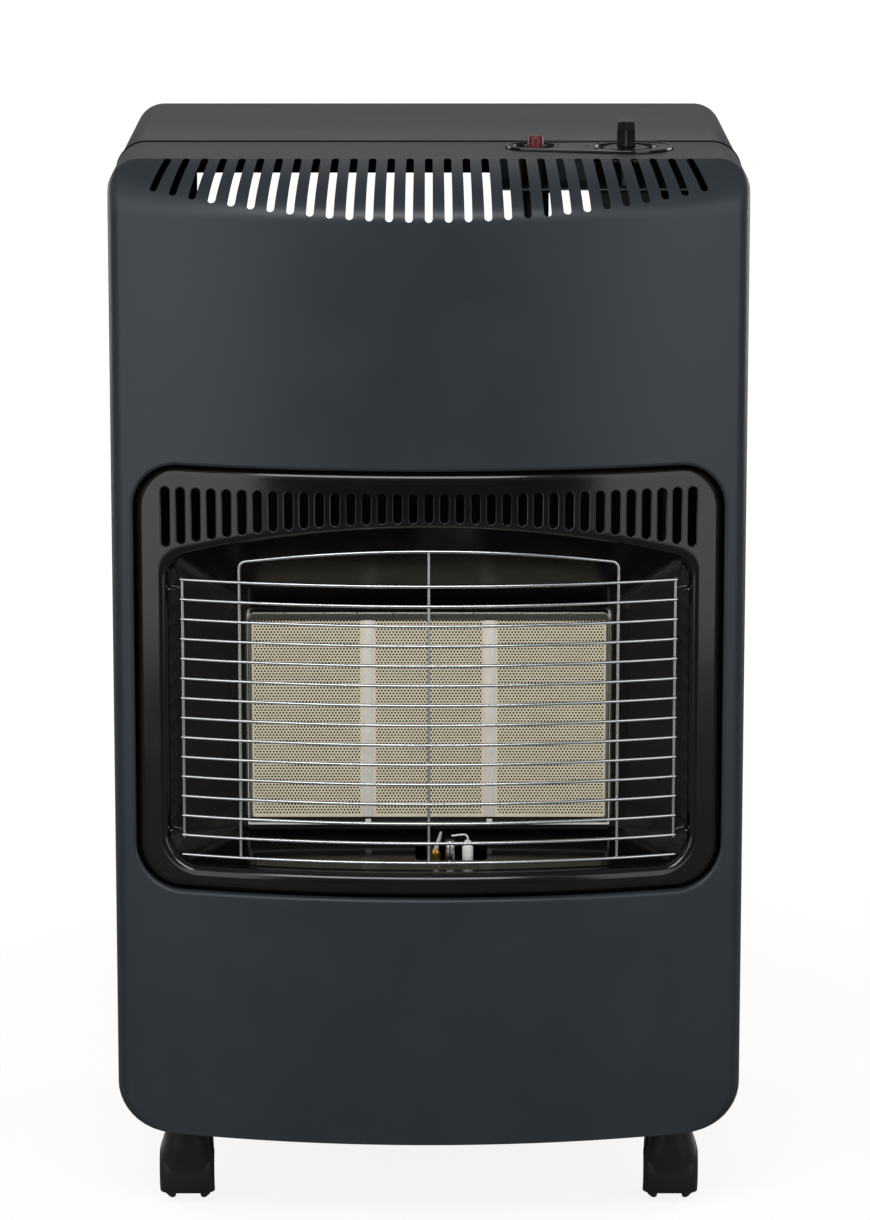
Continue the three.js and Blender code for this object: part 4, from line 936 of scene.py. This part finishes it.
def makePilot():
    y, low, top = pilot["y"], pilot["low"], pilot["top"]
    x, seat = pilot["burner"], pilot["burnerNut"]
    head = turnUp("pilotHead", x, y, [
        (2.2, low), (3.4, low + 0.8), (3.4, top - 7), (2.9, top - 6.5), (2.9, top - 5.4),
        (3.4, top - 4.9), (3.4, top - 0.7), (2.9, top), (1.6, top), (1.6, top - 6)], 24)
    gather(head, turnUp("pilotNut", x, y, [
        (3.9, seat), (4.4, seat + 0.4), (4.4, seat + 3.3), (3.9, seat + 3.6)], 6))
    finish(head, "pilotBurnerHead", "heater", ["pilot_burner"], chromeWire, 40)

    x, seat = pilot["thermocouple"], pilot["probeNut"]
    sleeve = turnUp("sleeve", x, y, [
        (2.4, low), (3.0, low + 0.6), (3.0, top - 7.5), (2.6, top - 6.0), (2.0, top - 5.7)], 18)
    gather(sleeve, turnUp("probeNut", x, y, [
        (3.0, seat), (3.7, seat + 0.5), (3.7, seat + 4.0), (3.0, seat + 4.5)], 6))
    finish(sleeve, "thermocoupleSleeve", "heater", ["thermocouple"], brass, 40)
    probe = tube("probe", [(x, y, top - 9), (x + 0.1, y, top - 7), (x + 0.7, y, top - 4.4),
                           (x + 3.2, y, top + 3.6), (x + 3.9, y, top + 6)],
                 [1.9, 1.9, 1.7, 1.2, 0.7], 18)
    finish(probe, "thermocoupleTip", "heater", [], paleSteel, 40)

    x, seat = pilot["electrode"], pilot["collar"]
    insulator = turnUp("insulator", x, y, [
        (2.9, low), (3.3, low + 0.6), (3.3, seat), (3.7, seat + 0.6), (3.7, top - 4.6),
        (3.3, top - 4), (2.4, top - 3.2), (2.4, top - 0.6), (2.0, top), (0.9, top + 0.1)], 24)
    route = smoothRoute([(x, y, top - 1), (x, y, top + 2), (x - 1.4, y, top + 3.8),
                         (x - 4, y, top + 4), (pilot["burner"] + 1, y, top + 3.2)], 5)
    gather(insulator, tube("spark", route, pilot["spark"], 10))
    finish(insulator, "electrodeInsulator", "heater", ["ignition_electrode"],
           porcelain, 40)


# controls on the top

controls = {
    "knob": (131, -85), "button": (71, -81), "seat": 718.1, "face": 720.1, "knobEnd": 31.7,
    "buttonEnd": 20.0, "knobDish": 21.5, "knobDepth": 8.1, "buttonDish": 15.5,
    "buttonDepth": 3.1, "rim": 1.2, "marks": (50, 92, 134, 176, 218), "markReach": (24.4, 27.2),
    "markHalf": 0.45, "knobHole": 4, "buttonHole": 5.75, "knobLow": 716.6, "knobTop": 736.8,
    "gripHalf": (6.1, 12.2), "buttonLow": 704.3, "buttonTop": 726.3,
}


def teardrop(inset, steps=40):
    kx, ky = controls["knob"]
    bx, by = controls["button"]
    big, small = controls["knobEnd"] - inset, controls["buttonEnd"] - inset
    rise = (controls["knobEnd"] - controls["buttonEnd"]) / math.hypot(kx - bx, ky - by)
    lean = math.atan2(ky - by, kx - bx)
    spread = math.pi / 2 + math.asin(rise)
    points = []
    for i in range(steps + 1):
        turn = lean - spread + 2 * spread * i / steps
        points.append((kx + big * math.cos(turn), ky + big * math.sin(turn)))
    for i in range(steps + 1):
        turn = lean + spread + (2 * math.pi - 2 * spread) * i / steps
        points.append((bx + small * math.cos(turn), by + small * math.sin(turn)))
    return points


def makeEscutcheon():
    seat, face = controls["seat"], controls["face"]
    plate = stackOutlines("escutcheonPlate", [
        alongZ(teardrop(0.3), seat), alongZ(teardrop(0), seat + 0.3), alongZ(teardrop(0), face - 0.35),
        alongZ(teardrop(0.12), face - 0.1), alongZ(teardrop(0.5), face), alongZ(teardrop(2.2), face),
        alongZ(teardrop(2.7), face - 0.5)])
    for which, sides in (("knob", 24), ("button", 32)):
        x, y = controls[which]
        radius = controls[which + "Dish"]
        wall = radius + controls["rim"]
        floor = face - controls[which + "Depth"]
        unite(plate, turnUp("dish", x, y, [
            (wall - 1, floor - 1.5), (wall, floor - 0.5), (wall, face - 0.6)], 64))
        carve(plate, turnUp("dishHollow", x, y, [
            (radius - 1.2, floor), (radius - 0.3, floor + 0.4), (radius, floor + 1.3),
            (radius, face - 1.4), (radius + 0.3, face - 0.8), (radius + 1.4, face + 0.4)], 64))
        bore = controls[which + "Hole"]
        carve(plate, turnUp("hole", x, y, [(bore, 700), (bore, 724)], sides))
    # plain index marks round the knob, as shallow ridges
    marks = []
    centre = Vector(controls["knob"])
    for turn in controls["marks"]:
        out = Vector((math.cos(math.radians(turn)), math.sin(math.radians(turn))))
        side = Vector((-out.y, out.x)) * controls["markHalf"]
        near, far = (centre + out * reach for reach in controls["markReach"])
        outline = [near - side, far - side, far + side, near + side]
        marks.append(prismZ("mark", outline, face - 0.6, face - 0.25))
    gather(plate, *marks)
    finish(plate, "controlEscutcheonMoulded", "heater", ["control_escutcheon"],
           glossPlastic, 35)


def makeKnob():
    kx, ky = controls["knob"]
    low, top = controls["knobLow"], controls["knobTop"]
    skirt = turnUp("skirt", kx, ky, [
        (14.6, low), (15.3, low + 0.3), (15.5, low + 0.9), (15.5, low + 2.0), (15.1, low + 2.4),
        (13.2, low + 3.0), (11.5, low + 3.3), (8.0, low + 3.6), (2.0, low + 3.8)], 64)
    # blade with a keeled front end, tapered a little upwards
    grip = []
    for z, shrink in ((low + 2.2, -0.35), (low + 5, 0), (low + 14, 0.25), (top - 1.4, 0.45),
                      (top - 0.5, 0.75), (top, 1.5)):
        halfX, halfY = (half - shrink for half in controls["gripHalf"])
        side = [(halfX, -halfY + 5.2), (halfX, halfY - 3), (halfX * 0.55, halfY)]
        grip.append(alongZ([(kx + x, ky + y) for x, y in side + mirrored(side) + [(0, -halfY)]], z))
    fin = stackOutlines("grip", grip)
    # the keel ends in a slope with a small round dimple
    carve(fin, stackOutlines("slope", [[
        (x, ky - 16, top + 4), (x, ky - 16, top - 8.5), (x, ky - 11.3, top - 5.2),
        (x, ky - 4.0, top + 4)] for x in (kx - 9, kx + 9)]))
    carve(fin, turnAbout("dot", (0, -0.66, 0.75), (kx, ky - 8.4, top - 1.7), [
        (0.9, -0.7), (0.9, 2.5)], 20))
    roundEdges(fin, 0.25, 2, 40)
    gather(skirt, fin)
    finish(skirt, "controlKnobMoulded", "knob", ["control_knob"],
           glossPlastic, 35)


def makeButton():
    top = controls["buttonTop"]
    # a rounded rim and a slightly hollow face
    cap = turnUp("buttonCap", *controls["button"], [
        (5.4, controls["buttonLow"]), (5.4, top - 1.5), (5.2, top - 0.7), (4.7, top - 0.2),
        (4.1, top), (3.4, top - 0.2), (2.0, top - 0.5), (0.6, top - 0.55)], 48)
    finish(cap, "igniterButtonMoulded", "button", ["igniter_button"], redPlastic, 35)


# cabinet behind the seam

cabinet = {
    "tongueGap": 0.7, "tongue": 10, "bead": 0.8, "back": 198.7, "flange": 43, "topLip": 50,
}


def archOutline(inset, foot, steps=16):
    half = body["half"] - inset
    top = body["top"] - inset
    radius = body["topCorner"] - inset
    arc = [(half - radius + radius * math.cos(turn), top - radius + radius * math.sin(turn))
           for turn in quarter(steps)]
    return [(-half, foot), (half, foot)] + arc + mirrored(arc)


def archSheet(name, inset, wall, y0, y1, foot):
    sheet = prismY(name, archOutline(inset, foot), y0, y1)
    return carve(sheet, prismY("within", archOutline(inset + wall, foot - 5), y0 - 1, y1 + 1))


def makeCabinet():
    sheet, gap = body["sheet"], cabinet["tongueGap"]
    front = body["seam"] + body["seamGap"]
    back = cabinet["back"]
    foot = body["foot"] + body["footCorner"] + 4
    shell = archSheet("cabinetShell", 0, sheet, front, back, body["foot"])
    lapEnd = front + 10
    tongue = archSheet("tongue", sheet + gap, sheet, body["seam"] - cabinet["tongue"], lapEnd, foot)
    unite(shell, archSheet("joint", sheet / 2, sheet + gap, front + 0.6, lapEnd, foot))
    # black strip that fills the seam and stands a little proud of both panels; with the tongue it is
    # painted shade for the shadow gap
    bead = archSheet("bead", -cabinet["bead"], 3.2, body["seam"] + 0.1, front - 0.1, foot)
    roundEdges(bead, 0.5, 3)
    finish(gather(tongue, bead), "seamShadowStrip", "heater", [], seamShadowFinish, 30)
    roundEdges(shell, 0.4)
    finish(shell, "cabinetWrapSheet", "heater", ["cabinet_wrap"],
           powderCoat, 30)
    rear = prismY("rearFrame", archOutline(sheet, body["foot"]), back - sheet, back)
    half = body["half"] - cabinet["flange"]
    carve(rear, block("rearOpening", (-half, back - 5, body["foot"] - 5),
                      (half, back + 5, body["top"] - cabinet["topLip"])))
    roundEdges(rear, 0.25)
    finish(rear, "rearFrameSheet", "heater", ["rear_frame"], powderCoat, 30,
           flat=True)


# rear cover with louvres and a stiffening bead

cover = {
    "half": 184, "low": 69.8, "top": 600, "front": 199, "back": 200, "corner": 6,
    "rim": (165, 99.8, 594, 8), "rimSheet": 0.8, "bead": (140, 190, 440, 18),
    "rows": (109.8, 469.8), "pitch": 28, "reach": 4, "height": 50, "radius": 2.5,
}


def louvreOutline(x, low, grow):
    return slotOutline(x, low, x, low + cover["height"], cover["radius"] + grow)


def louvreHood(place):
    # raised collar round each slot
    profile = [(2.6, -0.1), (2.0, 0.5), (1.1, 0.95), (0.3, 0.8), (0.0, 0.2), (0.0, -0.8),
               (0.5, -1.0), (1.8, -0.4)]
    return stackOutlines("hood", [
        alongY(louvreOutline(*place, grow), cover["back"] + y) for grow, y in profile], ring=True)


def makeRearCover():
    front, back = cover["front"], cover["back"]
    plate = prismY("coverPlate", roundedRect(
        -cover["half"], cover["half"], cover["low"], cover["top"], cover["corner"], 8), front, back)
    places = [(i * cover["pitch"], low) for low in cover["rows"]
              for i in range(-cover["reach"], cover["reach"] + 1)]
    carve(plate, *[prismY("louvre", louvreOutline(*place, 0), back - 5, back + 4) for place in places])
    roundEdges(plate, 0.3)
    # pressed bead between the two rows of louvres
    side, low, top, radius = cover["bead"]
    ridge = stackOutlines("coverBead", [
        alongY(roundedRect(-side - grow, side + grow, low - grow, top + grow, radius + grow, 10),
               back + y)
        for grow, y in ((8, 0), (6.5, 0.5), (4, 1.1), (0, 1.4), (-4, 1.1), (-6.5, 0.5), (-8, 0),
                        (-8, -0.4), (8, -0.4))], ring=True)
    # folded rim inside
    side, low, top, depth = cover["rim"]
    rim = block("coverRim", (-side, front - depth, low), (side, front + 0.4, top))
    wall = cover["rimSheet"]
    carve(rim, block("rimHollow", (-side + wall, front - depth - 1, low - 1),
                     (side - wall, front + 2, top - wall)))
    roundEdges(rim, 0.25)
    gather(plate, ridge, rim, *[louvreHood(place) for place in places])
    finish(plate, "rearCoverPressed", "rear_door", ["rear_cover"],
           powderCoat, 35, flat=True)


# twin-wheel casters

caster = {
    "wheel": 25, "width": 8.6, "trail": 20, "half": 18.7, "hood": 28, "web": 8, "lip": 9, "neck": 38,
    "axle": 15.9, "hoodRound": (7, 8.6),
    "nose": [
        # height, half width, front, rear
        (7, 16.4, 0, 20), (13, 17.4, -4, 20), (20, 18.1, -7, 20), (28, 18.3, -9.3, 20),
        (34, 17.8, -11.0, 20), (40, 16.4, -12.2, 20), (45, 15.2, -12.8, 19), (50, 14.2, -13, 17),
        (54, 13.3, -13.1, 15),
        (58, 12.9, -13, 13), (63.2, 12.9, -13, 13), (64, 12.2, -12.3, 12.3)],
    "places": {"front_left": (-165, -135.5), "front_right": (165, -135.5),
               "rear_left": (-165, 145), "rear_right": (165, 145)},
}


def makeHood():
    axle = (0, caster["trail"], caster["wheel"])
    half, radius = caster["half"], caster["hood"]
    across, along = caster["hoodRound"]
    profile = [(radius - across * (1 - math.sin(turn)), -half + along * (1 - math.cos(turn)))
               for turn in quarter(8)]
    profile += [(r, -x) for r, x in reversed(profile)]
    hood = turnAbout("hood", (1, 0, 0), axle, profile, 72)
    for vert in hood.data.vertices:     # the shoulders draw in towards the neck
        above = max(vert.co.z / mm - caster["neck"], 0)
        vert.co.x *= 1 - 0.0125 * above
    # nose: from the neck down over the front of the wheels
    levels = []
    for z, wide, front, rear in caster["nose"]:
        corner = min(wide, (rear - front) / 2) - 0.05
        levels.append(alongZ(roundedRect(-wide, wide, front, rear, min(corner, 13), 10), z))
    unite(hood, stackOutlines("nose", levels))
    web = caster["web"]
    behind = caster["trail"] + 9
    for side in (-1, 1):
        carve(hood, turnAbout("pocket", (side, 0, 0), axle, [
            (26.3, web), (26.3, 11.0), (25.4, 13.6), (24.2, 15.6), (22.4, 17.2), (20.6, 18.0),
            (20.6, half + 4)], 72))
        x0, x1 = (web, half + 3) if side > 0 else (-half - 3, -web)
        carve(hood, block("open", (x0, behind, -5), (x1, 90, 90)))
    carve(hood, block("below", (-30, -60, -5), (30, 90, caster["lip"])))
    carve(hood, turnAbout("axleHole", (1, 0, 0), axle, [(2.8, -10), (2.8, 10)], 20))
    carve(hood, turnUp("stemHole", 0, 0, [(4.3, 33), (4.3, 66)], 24))
    return roundEdges(hood, 0.4, 2, 40)


def makeWheel(side):
    axle = (0, caster["trail"], caster["wheel"])
    inner = caster["web"] + 0.4
    outer = inner + caster["width"]
    radius = caster["wheel"]
    profile = [
        (2.85, inner), (radius - 2.2, inner), (radius - 0.6, inner + 0.5), (radius, inner + 1.8),
        (radius, outer - 5.6), (radius - 1.0, outer - 3.8), (radius - 2.8, outer - 2.0),
        (radius - 5.2, outer - 0.8), (radius - 8.8, outer - 0.1), (radius - 9.8, outer),
        (radius - 10.4, outer - 0.5), (radius - 10.8, outer - 1.5), (radius - 15, outer - 1.9),
        (radius - 17, outer - 1.7), (radius - 17.4, outer - 0.9), (radius - 18, outer - 0.6),
        (2.85, outer - 0.6)]
    return turnAbout("wheel", (side, 0, 0), axle, profile, 64, ring=True)


def makeCasters():
    hood = makeHood()
    wheels = {"left": makeWheel(-1), "right": makeWheel(1)}
    stem = turnUp("stem", 0, 0, [
        (3.4, 33.4), (4, 34), (4, 73), (3.5, 73.6), (3.5, 75.4), (4, 76), (4, 77.6), (3.2, 78.3)], 24)
    end = caster["axle"]
    axle = turnAbout("axle", (1, 0, 0), (0, caster["trail"], caster["wheel"]), [
        (2.0, -end), (2.5, -end + 0.5), (2.5, end - 0.5), (2.0, end)], 24)
    fixed = (("Hood", hood, "matte_black_plastic", mattePlastic, 35),
             ("Stem", stem, "zinc_plated_steel", zincSteel, 32),
             ("Axle", axle, "zinc_plated_steel", zincSteel, 32))
    for name, (x, y) in caster["places"].items():
        for kind, piece, slotName, material, smooth in fixed:
            finish(copyOf(piece, kind, (x, y, 0)), f"caster{kind}.{name}", f"caster_{name}",
                   [f"caster_{kind.lower()}_{name}"], material, smooth)
        for hand, wheel in wheels.items():
            finish(copyOf(wheel, "wheel", (x, y, 0)), f"casterWheel.{name}.{hand}",
                   f"wheel_{name}_{hand}", [f"caster_wheel_{name}_{hand}"],
                   wheelRubber, 35)
    for spare in (hood, stem, axle, *wheels.values()):
        bpy.data.objects.remove(spare)


makeFrontPanel()
print("front panel made")
makeBezel()
makeSurround()
print("window made")
makeGuard()
makePlaques()
makeBurnerFrame()
makeCords()
makePilot()
print("burner made")
makeEscutcheon()
makeKnob()
makeButton()
print("controls made")
makeCabinet()
makeRearCover()
makeCasters()
print("cabinet and casters made")


# carried pieces: the CAD shapes with softened edges

carried = {
    "plaque_gasket": ("fibreStrips", "fibre_gasket", fibre, 0.3),
    "burner_plenum": ("burnerPlenumPan", "aluminised_steel", aluminised, 0.3),
    "gas_manifold": ("gasManifoldTube", "zinc_plated_steel", zincSteel, 0.6),
    "feed_pipe": ("feedPipeBent", "zinc_plated_steel", zincSteel, 0.0),
    "pilot_bracket": ("pilotBracketPlate", "zinc_plated_steel", zincSteel, 0.2),
    "thermocouple_lead": ("thermocoupleLeadCopper", "brass", brass, 0.0),
    "pilot_tube": ("pilotTubeBent", "aluminised_steel", aluminised, 0.0),
    "ignition_lead": ("ignitionLeadSleeve", "red_plastic", redSilicone, 0.0),
    "valve_body": ("valveBodyCast", "cast_aluminium", castAluminium, 1.2),
    "control_bracket": ("controlBracketFolded", "zinc_plated_steel", zincSteel, 0.3),
    "igniter_body": ("igniterBodyMoulded", "matte_black_plastic", mattePlastic, 0.5),
    "inlet_pipe": ("inletPipeBent", "zinc_plated_steel", zincSteel, 0.0),
    "hose_nozzle": ("hoseNozzleTurned", "brass", brass, 0.2),
    "base_tray": ("baseTrayPressed", "powder_coated_steel", powderCoat, 0.35),
    # the heat shield takes the near-black sheet finish: painted shade behind the bezel slots
    "heat_shield": ("heatShieldSheet", "aluminised_steel", shieldShade, 0.25),
}
for number in (1, 2, 3):
    carried[f"venturi_tube_{number}"] = (
        f"venturiTube{number}", "aluminised_steel", aluminised, 0.2)
    carried[f"injector_{number}"] = (f"injectorJet{number}", "brass", brass, 0.2)
for nodeName, (name, slotName, material, width) in carried.items():
    finish(softened(nodeName, name, width), name, "heater", [nodeName], material, 40,
           flat=width > 0)
finish(softened("control_spindle", "spindle", 0.3), "controlSpindleSteel", "knob",
       ["control_spindle"], zincSteel, 40)
finish(softened("valve_plug", "plug", 0.3), "valvePlugBrass", "gas_valve", ["valve_plug"],
       brass, 40)


# rear flange of the control bracket, which hangs it under the top; a dust plate beside it

hanger = {"left": 46, "split": 112, "right": 171, "low": 692.4, "top": 716.9, "y": (-57.6, -56.6)}


def makeHanger():
    y0, y1 = hanger["y"]
    for name, x0, x1, slotName, material in (
            ("bracketFlange", hanger["left"], hanger["split"], "zinc_plated_steel", zincSteel),
            ("valveDustPlate", hanger["split"], hanger["right"], "matte_black_plastic", mattePlastic)):
        plate = block(name, (x0, y0, hanger["low"]), (x1, y1, hanger["top"]))
        unite(plate, block("foot", (x0, y0 - 4, hanger["low"]), (x1, y0 + 0.5, hanger["low"] + 1)))
        roundEdges(plate, 0.25)
        finish(plate, name, "heater", [], material, 40, flat=True)


makeHanger()
print("carried pieces finished")


# floor, light and background

studio = {
    "floor": 0.16, "nearGlow": 0.88, "farGlow": 1.0, "fade": (0.5, 1.6), "mirrorGlow": 0.05,
    "world": 0.2,
    "lamps": [
        # place, aimed at, width, height, watts
        ((-0.2, -1.7, 1.9), (0, -0.15, 0.8), 1.4, 0.7, 23),
        ((-1.15, -1.35, 0.78), (0, 0, 0.55), 1.0, 1.5, 7.6),
        ((1.15, -1.35, 0.78), (0, 0, 0.55), 1.0, 1.5, 7),
        ((0.0, 1.9, 2.0), (0, 0, 0.6), 1.8, 0.8, 3),
        ((-1.9, 1.3, 0.9), (0, 0, 0.4), 0.9, 1.5, 13),
        ((1.9, 1.3, 0.9), (0, 0, 0.4), 0.9, 1.5, 17),
    ],
}


def makeStudio():
    clearSelection()
    bpy.ops.mesh.primitive_plane_add(size=60, location=(0, 0, 0))
    floor = bpy.context.active_object
    floor.name = "studioFloor"
    material = bpy.data.materials.new("paleStudioFloor")
    tree = emptyTree(material)
    path = addNode(tree, "ShaderNodeLightPath")
    away = addNode(tree, "ShaderNodeVectorMath", {"operation": "LENGTH"}, {
        "Vector": addNode(tree, "ShaderNodeTexCoord").outputs["Object"]})
    glow = addNode(tree, "ShaderNodeMapRange", {
        "From Min": studio["fade"][0], "From Max": studio["fade"][1],
        "To Min": studio["nearGlow"], "To Max": studio["farGlow"]}, {"Value": away.outputs["Value"]})
    seen = addNode(tree, "ShaderNodeMath", {"operation": "MULTIPLY"}, {
        0: path.outputs["Is Camera Ray"], 1: glow.outputs["Result"]})
    strength = addNode(tree, "ShaderNodeMath", {"operation": "MULTIPLY_ADD", 1: studio["mirrorGlow"]},
                       {0: path.outputs["Is Glossy Ray"], 2: seen.outputs["Value"]})
    paint = addNode(tree, "ShaderNodeBsdfPrincipled", {
        "Base Color": (studio["floor"],) * 3 + (1,), "Roughness": 0.9,
        "Emission Color": (1, 1, 1, 1), "Specular IOR Level": 0.1},
        {"Emission Strength": strength.outputs["Value"]})
    addNode(tree, "ShaderNodeOutputMaterial", None, {"Surface": paint.outputs["BSDF"]})
    floor.data.materials.append(material)

    scene.world = bpy.data.worlds.new("studioWorld")
    tree = emptyTree(scene.world)
    path = addNode(tree, "ShaderNodeLightPath")
    dim = addNode(tree, "ShaderNodeBackground", {"Color": (1, 1, 1, 1), "Strength": studio["world"]})
    white = addNode(tree, "ShaderNodeBackground", {"Color": (1, 1, 1, 1), "Strength": 1.0})
    mix = addNode(tree, "ShaderNodeMixShader", None, {
        0: path.outputs["Is Camera Ray"], 1: dim.outputs["Background"], 2: white.outputs["Background"]})
    addNode(tree, "ShaderNodeOutputWorld", None, {"Surface": mix.outputs["Shader"]})

    for i, (place, aim, width, height, watts) in enumerate(studio["lamps"]):
        data = bpy.data.lights.new(f"softbox{i}", "AREA")
        data.shape = "RECTANGLE"
        data.size, data.size_y, data.energy = width, height, watts
        lamp = bpy.data.objects.new(f"softbox{i}", data)
        lamp.location = place
        heading = Vector(aim) - Vector(place)
        lamp.rotation_euler = heading.to_track_quat("-Z", "Y").to_euler()
        scene.collection.objects.link(lamp)


makeStudio()
print("studio set")

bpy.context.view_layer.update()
